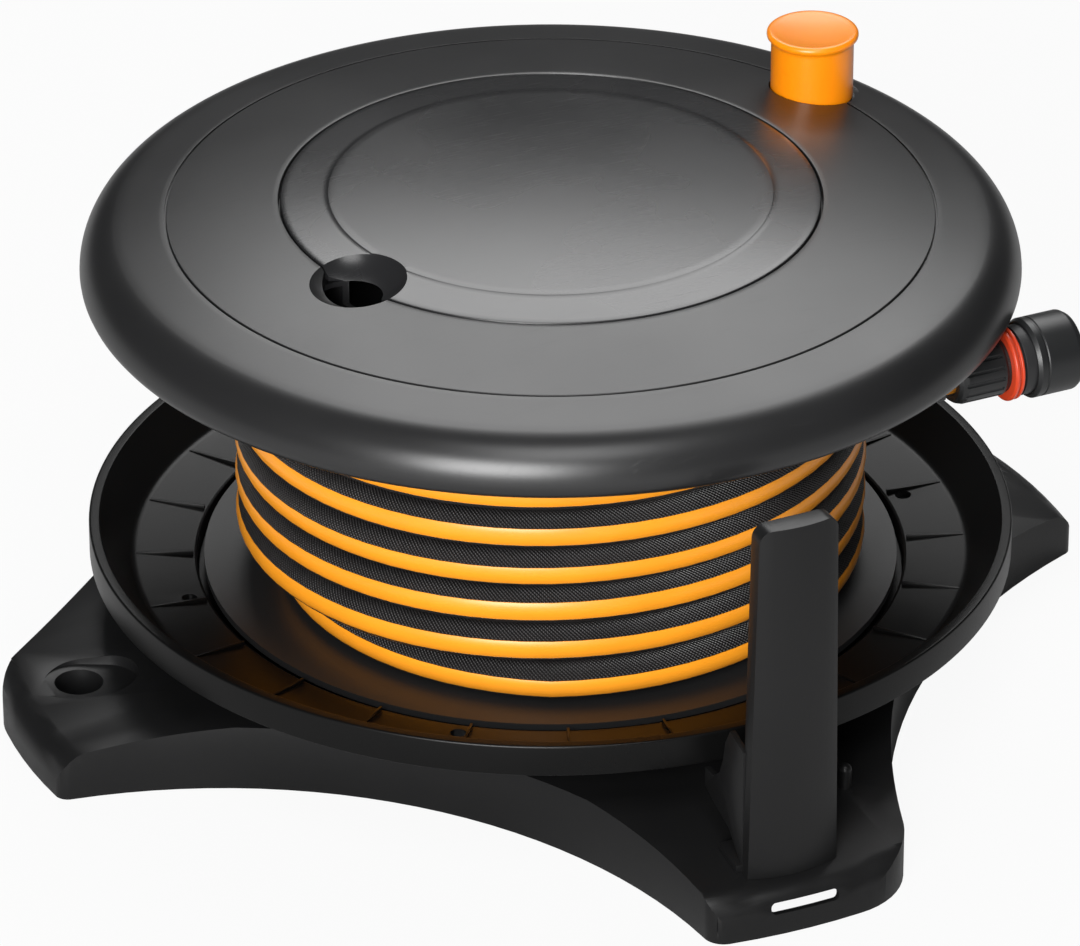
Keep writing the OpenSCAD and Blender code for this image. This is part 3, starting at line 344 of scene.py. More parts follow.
class Nodes:
    """Adds shader nodes to a material and links them in one call."""

    def __init__(self, name):
        self.material = bpy.data.materials.new(name)
        self.material.use_nodes = True
        self.tree = self.material.node_tree
        self.skin = self.tree.nodes["Principled BSDF"]

    def add(self, kind, values=(), **settings):
        node = self.tree.nodes.new("ShaderNode" + kind)
        for key, value in settings.items():
            setattr(node, key, value)
        for socket, value in dict(values).items():
            target = node.inputs[socket]
            if isinstance(value, bpy.types.NodeSocket):
                self.tree.links.new(value, target)
            else:
                target.default_value = value
        return node

    def set(self, **values):
        for key, value in values.items():
            target = self.skin.inputs[key.replace("_", " ")]
            if isinstance(value, bpy.types.NodeSocket):
                self.tree.links.new(value, target)
            else:
                target.default_value = value

    def math(self, operation, a, b=0.0):
        return self.add("Math", {0: a, 1: b}, operation=operation).outputs[0]

    def place(self):
        return self.add("TexCoord").outputs["Object"]

    def noise(self, scale, detail=2.0, rough=0.5, at=None):
        return self.add("TexNoise", {"Vector": at or self.place(), "Scale": scale, "Detail": detail,
                                     "Roughness": rough}).outputs["Fac"]

    def blend(self, amount, a, b):
        node = self.add("Mix", data_type="RGBA")
        for socket, value in ((node.inputs[0], amount), (node.inputs[6], a), (node.inputs[7], b)):
            if isinstance(value, bpy.types.NodeSocket):
                self.tree.links.new(value, socket)
            else:
                socket.default_value = value
        return node.outputs[2]

    def spread(self, value, low, high, out_low=0.0, out_high=1.0):
        return self.add("MapRange", {0: value, 1: low, 2: high, 3: out_low, 4: out_high}).outputs[0]

    def bump(self, height, depth, strength=1.0, under=None):
        values = {"Height": height, "Distance": depth, "Strength": strength}
        if under:
            values["Normal"] = under
        return self.add("Bump", values).outputs["Normal"]


def rgba(tone, gain=1.0):
    """The tone, made lighter or darker, with the fourth value that a colour socket takes."""
    return (tone[0] * gain, tone[1] * gain, tone[2] * gain, 1)


def moulded(name, tone, rough, grain=1400, depth=0.00006, specular=0.5, coat=0.0, coat_rough=0.2):
    """Moulded plastic: fine spark grain, slow shifts of gloss, and faint hairline scuffs."""
    n = Nodes(name)
    slow = n.noise(9, 3)
    fine = n.noise(grain, 2, 0.6)
    hair_at = n.add("Mapping", {"Vector": n.place(), "Rotation": (0.2, 0.1, 0.7), "Scale": (14, 900, 60)})
    hair = n.spread(n.noise(3, 2, 0.5, hair_at.outputs[0]), 0.66, 0.74)
    n.set(Base_Color=n.blend(n.spread(slow, 0.3, 0.7), rgba(tone, 0.9), rgba(tone, 1.12)),
          Roughness=n.math("ADD", n.spread(slow, 0.3, 0.7, rough - 0.035, rough + 0.035),
                           n.math("MULTIPLY", hair, 0.12)),
          Normal=n.bump(fine, depth, 0.35))
    n.set(Specular_IOR_Level=specular, Coat_Weight=coat, Coat_Roughness=coat_rough)
    return n.material


def orange_gloss(name, tone, rough=0.32):
    """Glossy dyed plastic with a little light under its skin."""
    n = Nodes(name)
    slow = n.noise(40, 2)
    n.set(Base_Color=n.blend(n.spread(slow, 0.3, 0.7), rgba(tone, 0.96), rgba(tone, 1.03)),
          Roughness=n.spread(slow, 0.3, 0.7, rough - 0.03, rough + 0.04),
          Normal=n.bump(n.noise(700, 2), 0.00004, 0.2), Subsurface_Weight=0.12, Subsurface_Scale=0.004,
          Coat_Weight=0.15, Coat_Roughness=0.15)
    n.skin.inputs["Subsurface Radius"].default_value = (1.0, 0.35, 0.08)
    return n.material


def plated_steel(name):
    """Zinc-plated steel, a little cloudy."""
    n = Nodes(name)
    slow = n.noise(160, 3)
    n.set(Base_Color=n.blend(slow, (0.5, 0.5, 0.52, 1), (0.68, 0.68, 0.7, 1)), Metallic=1.0,
          Roughness=n.spread(slow, 0.3, 0.7, 0.26, 0.42), Normal=n.bump(n.noise(1500, 2), 0.00003, 0.2))
    return n.material


def natural_nylon(name):
    """Undyed nylon, creamy and half matt."""
    n = Nodes(name)
    slow = n.noise(60, 3)
    n.set(Base_Color=n.blend(slow, (0.68, 0.66, 0.58, 1), (0.8, 0.78, 0.71, 1)),
          Roughness=n.spread(slow, 0.3, 0.7, 0.38, 0.5), Normal=n.bump(n.noise(900, 2), 0.00004, 0.25))
    return n.material


def soft_rubber(name):
    """Black seal rubber, matt with a fine grain."""
    n = Nodes(name)
    slow = n.noise(90, 3)
    n.set(Base_Color=n.blend(slow, (0.012, 0.012, 0.012, 1), (0.024, 0.024, 0.024, 1)),
          Roughness=n.spread(slow, 0.3, 0.7, 0.55, 0.7), Normal=n.bump(n.noise(1800, 2), 0.00004, 0.3))
    return n.material


def striped_hose(name, settings):
    """Ribbed black hose with one smooth stripe and painted glints on its ribs. The hose's own map runs round
    it and along it in metres.
    """
    n = Nodes(name)
    uv = n.add("UVMap", uv_map="hose")
    axes = n.add("SeparateXYZ", {0: uv.outputs[0]})
    round_it, along = axes.outputs[0], axes.outputs[1]
    # The stripe wanders a little as the hose runs on
    drift = n.math("MULTIPLY", n.math("SINE", n.math("MULTIPLY", along, 5.3)), 0.012)
    aside = n.math("SUBTRACT", round_it, 0.5 + settings.stripe_low / 360)
    off = n.math("ABSOLUTE", n.math("SUBTRACT", aside, drift))
    half = settings.stripe / 720
    stripe = n.spread(off, half + 0.002, half - 0.002)
    edge = n.spread(off, half + 0.012, half)
    # Two sets of slanting ribs, which cross as a fine knurl; the knurl's crests are also painted lighter as
    # painted glints
    waves_round, waves_along = 30 * math.pi, 2000
    ribs = []
    for lean in (1, -1):
        phase = n.math("ADD", n.math("MULTIPLY", round_it, waves_round * lean),
                       n.math("MULTIPLY", along, waves_along))
        ribs.append(n.math("ABSOLUTE", n.math("SINE", phase)))
    knurl_and_glints = n.math("MULTIPLY", ribs[0], n.math("ADD", n.math("MULTIPLY", ribs[1], 0.5), 0.5))
    bare = n.math("SUBTRACT", 1.0, stripe)
    slow = n.noise(28, 3)
    # The hose's colour runs from 0.4 to 4.5 times its tone, lightest on the rib crests, as painted glints
    black = n.blend(n.math("MULTIPLY", n.math("POWER", knurl_and_glints, 2.2), n.spread(slow, 0.3, 0.7, 0.5, 1)),
                    rgba(settings.black, 0.4), rgba(settings.black, 4.5))
    orange = n.blend(n.spread(slow, 0.25, 0.75), rgba(settings.orange, 0.93), rgba(settings.orange, 1.05))
    skin = n.blend(stripe, black, orange)
    n.set(Base_Color=skin, Roughness=n.spread(stripe, 0, 1, 0.42, 0.36),
          Normal=n.bump(n.math("MULTIPLY", knurl_and_glints, bare), 0.0006, 0.9, n.bump(edge, 0.0001, 0.5)))
    n.set(Specular_IOR_Level=0.5)
    return n.material


# The camera, the hose and the connector on its end come first

def ease(t):
    """Starts and ends gently on the way from 0 to 1."""
    t = max(0.0, min(1.0, t))
    return t * t * (3 - 2 * t)


def hose_line(rings):
    """Middle line of the hose: up the first layer, down the second, up the third, and out along the rim."""
    layer_deg, climb_deg, lead_deg, last_deg, end_deg = 2200, 120, 90, 2185, -90
    total = 2 * layer_deg + climb_deg + lead_deg + last_deg
    step = 360 / rings
    top = TURN1_Z + PITCH * layer_deg / 360
    points = []
    count = math.ceil(total / step)
    for i in range(count + 1):
        a = total * i / count
        t = a
        if t < layer_deg:
            r, z = LAYER_R[0], TURN1_Z + PITCH * t / 360
        elif t < layer_deg + climb_deg:
            t -= layer_deg
            r, z = LAYER_R[0] + PITCH * ease(t / climb_deg), top
        elif t < 2 * layer_deg + climb_deg:
            t -= layer_deg + climb_deg
            r, z = LAYER_R[1], top - PITCH * t / 360
        elif t < 2 * layer_deg + climb_deg + lead_deg:
            t -= 2 * layer_deg + climb_deg
            r, z = LAYER_R[1] + PITCH * t / lead_deg, TURN1_Z
        else:
            t -= 2 * layer_deg + climb_deg + lead_deg
            r, z = LAYER_R[2], TURN1_Z + PITCH * t / 360 + FIRST_LIFT * ease(t / 360)
        at = math.radians(end_deg - total + a)
        points.append(Vector((r * math.cos(at), r * math.sin(at), z)) * MM)
    tail_z = TURN1_Z + FIRST_LIFT + PITCH * last_deg / 360
    for x, drop in TAIL:
        points.append(Vector((x, END_Y, tail_z + drop)) * MM)
    return points


def hose_skin(name, line, radius, sides=20):
    """Closed tube round a line, with a map that runs round it (0 to 1) and along it (metres)."""
    verts, faces, loops = [], [], []
    run = [0.0]
    for a, b in zip(line, line[1:]):
        run.append(run[-1] + (b - a).length)
    up = Vector((0, 0, 1))
    for i, p in enumerate(line):
        ahead = (line[min(i + 1, len(line) - 1)] - line[max(i - 1, 0)]).normalized()
        out = ahead.cross(up).normalized()
        rise = out.cross(ahead)
        for j in range(sides):
            # The map's middle is the line furthest from the drum, and its seam faces the drum
            a = 2 * math.pi * (j / sides - 0.5)
            verts.append(p + radius * (math.cos(a) * out + math.sin(a) * rise))
    for i in range(len(line) - 1):
        for j in range(sides):
            k = (j + 1) % sides
            faces.append((i * sides + j, i * sides + k, (i + 1) * sides + k, (i + 1) * sides + j))
            loops += [(j / sides, run[i]), ((j + 1) / sides, run[i]),
                      ((j + 1) / sides, run[i + 1]), (j / sides, run[i + 1])]
    faces.append(tuple(reversed(range(sides))))
    faces.append(tuple((len(line) - 1) * sides + j for j in range(sides)))
    loops += [(0, 0)] * (2 * sides)
    mesh = bpy.data.meshes.new(name)
    mesh.from_pydata(verts, [], faces)
    layer = mesh.uv_layers.new(name="hose")
    layer.data.foreach_set("uv", [x for uv in loops for x in uv])
    obj = bpy.data.objects.new(name, mesh)
    bpy.context.collection.objects.link(obj)
    activate(obj)
    bpy.ops.object.mode_set(mode="EDIT")
    bpy.ops.mesh.select_all(action="SELECT")
    bpy.ops.mesh.normals_make_consistent(inside=False)
    bpy.ops.object.mode_set(mode="OBJECT")
    return obj, run[-1]


def facing(place, aim):
    """Turn of a camera or lamp that stands at one point and looks at another."""
    return (Vector(aim) - Vector(place)).to_track_quat("-Z", "Y").to_euler()


class REEL_OT_camera(Operator):
    """Place the camera at the photograph's angle"""
    bl_idname = "reel.camera"
    bl_label = "Camera"

    def execute(self, context):
        data = bpy.data.cameras.new("reel_camera")
        data.lens = CAMERA_LENS
        data.sensor_width = 36
        data.sensor_fit = "HORIZONTAL"
        data.clip_end = 100
        camera = bpy.data.objects.new("reel_camera", data)
        context.collection.objects.link(camera)
        camera.location = CAMERA_AT
        camera.rotation_euler = facing(CAMERA_AT, CAMERA_AIM)
        context.scene.camera = camera
        return {"FINISHED"}


class REEL_OT_hose_end(Operator):
    """Model the connector on the hose's end: fluted nut, orange rings, inner body and release sleeve"""
    bl_idname = "reel.hose_end"
    bl_label = "Hose End Connector"

    def execute(self, context):
        black = moulded("connector_soft_black", (0.009, 0.0095, 0.01), 0.4, 1100, 0.00005)
        grey = moulded("connector_inner_grey", (0.06, 0.06, 0.063), 0.42)
        ring_red = orange_gloss("connector_ring_orange", (0.5, 0.045, 0.014), 0.34)
        way = about_hose()
        nut_r, bore_r, core_r, stop_x = 13.0, 6.7, 10.4, NUT_X + 8
        nut = turned("hose_nut", fillet([
            (bore_r, NUT_X, 0), (nut_r - 2, NUT_X, 0.5), (nut_r - 0.8, NUT_X + 1.6, 0.8),
            (nut_r, NUT_X + 4, 1), (nut_r, COLLAR_X - 2.4, 0.6), (nut_r - 0.9, COLLAR_X - 1.4, 0.4),
            (nut_r - 0.9, COLLAR_X, 0.2), (core_r, COLLAR_X, 0), (core_r, stop_x, 0),
            (bore_r, stop_x, 0)]), way, 96)
        flutes, flute_r = 16, nut_r + 0.45
        for i in range(flutes):
            a = 2 * math.pi * i / flutes
            cut(nut, rod(1.1, 18, (NUT_X + 12, END_Y + flute_r * math.cos(a), END_Z + flute_r * math.sin(a)),
                         20, rotation=(0, math.pi / 2, 0)))
        smooth(nut, 35)
        stand_for(nut, "reel", "connector_black", black, "connector_nut")

        rings = turned("connector_rings", fillet([
            (11.25, COLLAR_X, 0), (15.4, COLLAR_X, 0.5), (16.25, COLLAR_X + 0.7, 0.6),
            (16.25, COLLAR_X + 1.9, 0.6), (14.9, COLLAR_X + 2.3, 0.3), (14.9, COLLAR_X + 2.9, 0.3),
            (16.05, COLLAR_X + 3.2, 0.5), (16.05, COLLAR_X + 4.2, 0.6), (14.6, COLLAR_X + 4.8, 0.4),
            (13.85, COLLAR_X + 5.6, 0.2), (15.05, COLLAR_X + 5.9, 0.2), (15.05, SLEEVE_X + 4, 0.3),
            (11.25, SLEEVE_X + 4, 0)]), way, 96)
        smooth(rings)
        stand_for(rings, "reel", "orange_rubber", ring_red, "connector_collar")
        # The collar's neck, in the gap under the sleeve's edge, is painted near black as painted shade
        neck_shade = moulded("collar_neck_painted_shade", (0.012, 0.012, 0.013), 0.5)
        rings.data.materials.append(neck_shade)
        for face in rings.data.polygons:
            if face.center.x > (COLLAR_X + 5.0) * MM:
                face.material_index = 1

        body = turned("connector_inner", fillet([
            (4.5, stop_x, 0), (10.05, stop_x, 0.4), (10.05, SLEEVE_X + 4.3, 0.2),
            (13.25, SLEEVE_X + 4.3, 0.3), (13.25, MOUTH_X - 2.4, 0.1), (14.45, MOUTH_X - 2.4, 0.3),
            (14.45, MOUTH_X - 1.2, 0.4), (8.9, MOUTH_X - 1.2, 0.5), (8.5, MOUTH_X - 2, 0.3),
            (8.5, SLEEVE_X - 6, 0), (4.5, SLEEVE_X - 6, 0)]), way, 96)
        smooth(body)
        stand_for(body, "reel", "grey_plastic", grey, "connector_body")

        sleeve = turned("release_sleeve", fillet([
            (15.35, SLEEVE_X, 0.2), (16.1, SLEEVE_X, 0.3), (SLEEVE_R, SLEEVE_X + 1.6, 0.5),
            (SLEEVE_R, SLEEVE_X + 4.2, 0.2), (SLEEVE_R - 0.35, SLEEVE_X + 4.6, 0.2),
            (SLEEVE_R - 0.35, SLEEVE_X + 5.0, 0.2), (SLEEVE_R, SLEEVE_X + 5.4, 0.3),
            (SLEEVE_R, MOUTH_X - 2.6, 2.2), (SLEEVE_R - 1.7, MOUTH_X, 0.8), (14.75, MOUTH_X, 0.4),
            (14.75, MOUTH_X - 2.6, 0.1), (13.45, MOUTH_X - 2.6, 0.1), (13.45, MOUTH_X - 4.8, 0.1),
            (15.35, MOUTH_X - 4.8, 0.1)]), way, 120)
        smooth(sleeve)
        stand_for(sleeve, "release_sleeve", "connector_black", black, "connector_sleeve")
        return {"FINISHED"}


class REEL_OT_hose(Operator):
    """Wind the striped hose on the drum in three layers and lead its end out to the connector"""
    bl_idname = "reel.hose"
    bl_label = "Wound Hose"

    def execute(self, context):
        settings = context.scene.reel_hose
        line = hose_line(settings.rings)
        hose, length = hose_skin("striped_hose", line, settings.diameter / 2)
        activate(hose)
        bpy.ops.object.shade_smooth()
        stand_for(hose, "reel", "hose_black", striped_hose("striped_hose_skin", settings),
                  "hose_core", "hose_winding", "hose_tail")
        return {"FINISHED"}


def scoop_balls(wall):
    """The ball that hollows the finger scoop, and a larger one that gives its bowl a wall."""
    a = math.radians(SCOOP_DEG)
    centre = Vector((SCOOP_AT * math.cos(a), SCOOP_AT * math.sin(a),
                     dome_z(SCOOP_AT) - SCOOP_DEPTH + SCOOP_BALL)) * MM
    balls = []
    for radius in (SCOOP_BALL, SCOOP_BALL + wall):
        clear_selection()
        bpy.ops.mesh.primitive_uv_sphere_add(segments=128, ring_count=96, radius=radius * MM, location=centre)
        bpy.ops.object.transform_apply(location=True)
        balls.append(bpy.context.object)
    return balls


def finger_gap(side, low):
    """An upright rod that cuts one side of the lens-shaped gap along the seam under the fingers."""
    at_r, radius = side
    a = math.radians(SCOOP_DEG)
    top = CROWN_Z + 5
    return rod(radius, top - low, (at_r * math.cos(a), at_r * math.sin(a), (top + low) / 2), 96)


def hung_under_dome(shape, r_in, r_out, low):
    """The part of a shape that hangs under the dome between two distances from the axis."""
    across = [r_in + (r_out - r_in) * i / 6 for i in range(7)]
    outline = [(r_in, low)] + on_dome(across, 0.6) + [(r_out, low)]
    combine(shape, turned("bowl_space", outline, about_z(), 128), "INTERSECT")
    return shape


class REEL_OT_lid(Operator):
    """Model the domed lid ring with its rounded rim, shadow groove, scoop and knob recess"""
    bl_idname = "reel.lid"
    bl_label = "Lid Ring"

    def execute(self, context):
        settings = context.scene.reel_lid
        rim_in, lip_c = RIM_R - LID_WALL, LID_R - LIP_R
        outline = [(LEDGE_R, LEDGE_Z), (SEAT_R, LEDGE_Z), (SEAT_R, dome_z(SEAT_R) - 0.6),
                   (SEAT_R + 0.2, dome_z(SEAT_R) - 0.17), (SEAT_R + 0.6, dome_z(SEAT_R + 0.6))]
        outline += on_dome(range(118, 163, 3))
        g, groove_z = GROOVE_R, dome_z(GROOVE_R) - GROOVE_DEPTH
        outline += [(g - 0.35, dome_z(g - 0.35)), (g - 0.05, dome_z(g) - 0.2), (g, groove_z),
                    (g + 0.8, groove_z), (g + 0.85, dome_z(g) - 0.2), (g + 1.15, dome_z(g + 1.15))]
        outline += on_dome((166.5, 169.5, 172.5, 175.5, 178.5, 181.5))
        # The rim's round shoulder, the lip under it, and the inside of the wall
        start = math.pi / 2 - RIM_TILT
        outline += arc(RIM_C, RIM_Z, RIM_R, start, 0, 21)[1:]
        outline += arc(lip_c, RIM_Z, LIP_R, 0, -math.pi / 2, 6)[1:]
        outline += [(lip_c - 3, RIM_Z - LIP_R), (lip_c - 3.2, RIM_Z - LIP_R + 0.6),
                    (RIM_C + rim_in, RIM_Z - 3)]
        outline += arc(RIM_C, RIM_Z, rim_in, 0, start, 10)
        outline += on_dome((178, 170, 160, 150, 140, 130, 122, SKIRT_R), LID_WALL)
        outline += [(SKIRT_R, LID_Z), (SEAT_R, LID_Z),
                    (SEAT_R, LEDGE_Z - LID_WALL), (LEDGE_R, LEDGE_Z - LID_WALL)]
        lid = turned("lid_ring_skin", outline, about_z(), settings.steps)
        ball, bowl = scoop_balls(2.4)
        combine(lid, hung_under_dome(bowl, SEAT_R + 1.5, 150, LEDGE_Z - LID_WALL), "UNION")
        # A cup round the outer side of the gap keeps light from under the rim out of it
        at_r, radius = LID_GAP
        cup = finger_gap((at_r, radius + CUP_WALL), GAP_LOW - 4)
        combine(lid, hung_under_dome(cup, SEAT_R + 1.5, 150, GAP_LOW - 2), "UNION")
        cut(lid, ball)
        cut(lid, finger_gap(LID_GAP, GAP_LOW))
        # The knob's recess, on a boss that keeps the wall under it
        boss = turned("knob_boss", [(0, KNOB_FLOOR - 16), (14, KNOB_FLOOR - 16), (14, KNOB_FLOOR - 3),
                                    (RECESS_R + 2.5, KNOB_FLOOR - 3), (RECESS_R + 2.5, KNOB_FLOOR - 0.3),
                                    (0, KNOB_FLOOR - 0.3)],
                      about_z(KNOB_AT), 64, closed=False)
        combine(lid, boss, "UNION")
        recess = turned("knob_recess", [(0, KNOB_FLOOR), (RECESS_R, KNOB_FLOOR), (RECESS_R, KNOB_FLOOR + 14),
                                        (0, KNOB_FLOOR + 14)], about_z(KNOB_AT), 96, closed=False)
        cut(lid, recess)
        # Ribs and screw bosses under the dome, and the jaws that hold the hose's end
        under = []
        rib_in, rib_out, rib_low, rib_top = 119, 176, 198, 208
        for i in range(12):
            under.append(rounded_block("lid_rib", (rib_in, -1, rib_low), (rib_out, 1, rib_top), 0.4,
                                       30 * i, 2))
        boss_ring, boss_r, boss_h = SKIRT_R + 4, 5, 32
        for i in range(6):
            a = math.radians(30 + 60 * i)
            under.append(rod(boss_r, boss_h, (boss_ring * math.cos(a), boss_ring * math.sin(a),
                                              LID_Z + boss_h / 2)))
        jaw_in, jaw_out, jaw_half = 108, 118, 9.9
        for side in (-1, 1):
            y = END_Y + side * jaw_half
            under.append(rounded_block("hose_jaw", (jaw_in, y - 1.2, 162), (jaw_out, y + 1.2, 202), 0.6,
                                       0, 2))
        under.append(rounded_block("hose_jaw_bridge", (jaw_in, END_Y - 10, 176), (jaw_out, END_Y + 10, 186),
                                   0.8, 0, 2))
        join(lid, under)
        smooth(lid, 24)
        skin = moulded("lid_satin_black", settings.lid_tone, 0.34, 1500, 0.00005, coat=0.06, coat_rough=0.3)
        stand_for(lid, "reel", "lid_plastic", skin, "lid_ring")
        return {"FINISHED"}


class REEL_OT_cover(Operator):
    """Model the glossier storage cover with its faint step and its half of the finger scoop"""
    bl_idname = "reel.cover"
    bl_label = "Storage Cover"

    def execute(self, context):
        settings = context.scene.reel_lid
        skin, mid_r, mid_h, cover_r = 2.6, 94, 3.1, SEAT_R - 0.8
        mid_z = dome_z(mid_r) + 0.25
        foot = LEDGE_Z + 0.2
        outline = []
        for i in range(0, 25):
            r = mid_r * i / 24
            outline.append((r, mid_z + mid_h * (1 - (i / 24) ** 2)))
        outline += [(mid_r + 0.35, mid_z - 0.1), (mid_r + 0.8, dome_z(mid_r + 0.8))]
        outline += on_dome((97, 100, 103, 106, 109, 111.5))
        outline += [(cover_r - 0.9, dome_z(cover_r - 0.9)), (cover_r - 0.3, dome_z(cover_r) - 0.12),
                    (cover_r, dome_z(cover_r) - 0.6), (cover_r, foot), (cover_r - skin, foot),
                    (cover_r - skin, dome_z(cover_r) - skin)]
        for i in range(12, -1, -1):
            r = mid_r * i / 12
            outline.append((r, mid_z + mid_h * (1 - (i / 12) ** 2) - skin))
        cover = turned("storage_cover_skin", outline, about_z(), settings.steps, closed=False)
        ball, bowl = scoop_balls(2.2)
        combine(cover, hung_under_dome(bowl, 70, cover_r - 0.3, foot), "UNION")
        cut(cover, ball)
        cut(cover, finger_gap(COVER_GAP, GAP_LOW))
        smooth(cover, 24)
        gloss = moulded("cover_gloss_black", settings.cover_tone, 0.27, 1500, 0.00003, coat=0.25,
                        coat_rough=0.22)
        stand_for(cover, "cover", "gloss_black", gloss, "storage_cover")
        return {"FINISHED"}


class REEL_OT_bin(Operator):
    """Open the storage bin's flange under the finger gap and give the bin a grey finish darkened as painted
    shade in the gap
    """
    bl_idname = "reel.bin"
    bl_label = "Storage Bin"

    def execute(self, context):
        storage = softened("storage_bin_skin", "storage_bin", 0.0004, 2)
        cut(storage, finger_gap(BIN_GAP, GAP_LOW - 2))
        smooth(storage, 30)
        # The bin's grey is darkened below the works' grey, as painted shade that keeps the finger gap black
        grey = moulded("bin_grey_painted_shade", (0.02, 0.02, 0.021), 0.45)
        stand_for(storage, "reel", "grey_plastic", grey, "storage_bin")
        return {"FINISHED"}


class REEL_OT_knob(Operator):
    """Model the crank knob: a round grip and a dished cap that stands out over it"""
    bl_idname = "reel.knob"
    bl_label = "Crank Knob"

    def execute(self, context):
        orange = orange_gloss("knob_orange", context.scene.reel_lid.knob, 0.34)
        foot = KNOB_FLOOR + 0.3
        grip_top = KNOB_FLOOR + KNOB_H - 4
        shelf = grip_top - 5.3
        way = about_z(KNOB_AT)
        axle_r = 5.05
        grip = turned("knob_grip_skin", fillet([
            (axle_r, foot, 0.3), (KNOB_R - 0.6, foot, 0.5), (KNOB_R, foot + 0.8, 0.6),
            (KNOB_R, grip_top - 1.2, 0.5), (KNOB_R + 0.35, grip_top, 0), (KNOB_R - 6, grip_top, 0),
            (KNOB_R - 6, shelf, 0.4), (axle_r, shelf, 0.2)]), way, 128)
        smooth(grip)
        stand_for(grip, "knob", "orange_plastic", orange, "knob_grip")
        top = grip_top + 4
        cap_r = KNOB_R + 2
        outline = [(0, grip_top), (KNOB_R + 0.3, grip_top)]
        outline += [(KNOB_R + 0.8, grip_top + 0.1), (cap_r - 0.7, grip_top + 0.7),
                    (cap_r - 0.15, grip_top + 1.4), (cap_r, grip_top + 2.1), (cap_r - 0.05, grip_top + 2.8),
                    (cap_r - 0.35, grip_top + 3.4), (cap_r - 0.9, grip_top + 3.85), (cap_r - 1.7, top),
                    (cap_r - 2.6, top - 0.05)]
        # The cap is dished by one millimetre
        for i in range(9):
            t = 1 - i / 8
            outline.append(((cap_r - 3.4) * t, top - 0.2 - 1.0 * (1 - t ** 2)))
        cap = turned("knob_cap_skin", outline, way, 128, closed=False)
        smooth(cap)
        stand_for(cap, "knob", "orange_plastic", orange, "knob_cap")
        return {"FINISHED"}


class REEL_OT_tray(Operator):
    """Model the tray: a well for the drum, a ribbed floor with drain holes, and a sloping wall with a lip"""
    bl_idname = "reel.tray"
    bl_label = "Tray"

    def execute(self, context):
        well_z, floor_z, lip_r, top = 40, 50, 199.4, 68
        hole_r, well_r, wall, lip_low = 11.3, 153, 3, 54
        outline = fillet([
            (hole_r, well_z - wall, 0), (well_r + wall, well_z - wall, 1), (well_r + wall, floor_z - 5, 1),
            (178, floor_z - wall, 1), (182.2, floor_z - wall, 2), (196.9, top - 6, 0.6),
            (196.9, lip_low, 0.3), (lip_r, lip_low, 0.5), (lip_r, top, 1.1), (194.9, top, 0.8),
            (181, floor_z, 5), (154.2, floor_z - 1.8, 0.8), (well_r, floor_z - 2.4, 0.6), (well_r, well_z, 1),
            (hole_r, well_z, 0)])
        tray = turned("tray_skin", outline, about_z(), 240)
        drain_ring, drain_r = 161, 3.5
        holes = []
        for i in range(6):
            a = math.radians(-9 + 60 * i)
            holes.append(rod(drain_r, 30, (drain_ring * math.cos(a), drain_ring * math.sin(a), floor_z), 40))
        join(holes[0], holes[1:])
        cut(tray, holes[0])
        ribs = [rounded_block("tray_rib", (154.6, -0.6, floor_z - 1.6), (179.5, 0.6, floor_z + 0.25), 0.2,
                              7.5 + 15 * i, 2) for i in range(24)]
        rings = []
        foot_z, under = 30, well_z - 2.5
        for name, r_in, r_out, steps in (("tray_foot", 142, 146, 120), ("tray_seat", hole_r, 30, 64)):
            rings.append(turned(name, [(r_in, foot_z), (r_out, foot_z), (r_out, under), (r_in, under)],
                                about_z(), steps))
        join(tray, ribs + rings)
        smooth(tray, 30)
        tone = context.scene.reel_stand.tray_tone
        skin = moulded("tray_satin_black", tone, 0.3, 1300, 0.00004, specular=0.2)
        stand_for(tray, "base", "black_plastic", skin, "tray")
        return {"FINISHED"}


class REEL_OT_stand(Operator):
    """Round the edges of the star-shaped stand and of the guide post and give them their moulded finish"""
    bl_idname = "reel.stand"
    bl_label = "Stand and Guide Post"

    def execute(self, context):
        settings = context.scene.reel_stand
        for name, node, finish, edge, rough in (
                ("stand_skin", "base_stand", "stand_satin_black", settings.edge, 0.38),
                ("guide_post_skin", "hose_guide_post", "post_satin_black", settings.edge * 0.8, 0.36)):
            skin = moulded(finish, settings.tone, rough, 1200, 0.00006, specular=0.3)
            piece = softened(name, node, edge)
            smooth(piece, 30)
            stand_for(piece, "base", "black_plastic", skin, node)
        return {"FINISHED"}


class REEL_OT_works(Operator):
    """Give the drum, the swivel, the water fittings and the fasteners of the frame their finishes"""
    bl_idname = "reel.works"
    bl_label = "Drum and Works"

    def execute(self, context):
        black = moulded("drum_black", (0.016, 0.016, 0.0165), 0.4)
        grey = moulded("works_grey", (0.045, 0.045, 0.047), 0.42)
        finishes = {
            "drum": black, "swivel_housing": grey, "outlet_elbow": grey,
            "inlet_nipple": orange_gloss("nipple_orange", context.scene.reel_lid.knob),
        }
        steel, nylon = plated_steel("zinc_steel"), natural_nylon("natural_nylon")
        rubber = soft_rubber("seal_rubber")
        for node in ("tray_screws", "guide_screws", "spindle_screws", "swivel_screws", "drum_retainer",
                     "retainer_screw", "hose_clip", "lid_screws", "knob_axle", "knob_nut", "knob_screw"):
            finishes[node] = steel
        for node in ("spindle", "inlet_pipe", "thrust_washer", "lower_bush", "upper_bush"):
            finishes[node] = nylon
        for node in ("inlet_seal", "swivel_seals"):
            finishes[node] = rubber
        for node, finish in finishes.items():
            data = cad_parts[node].data
            data.materials.clear()
            data.materials.append(finish)
        return {"FINISHED"}


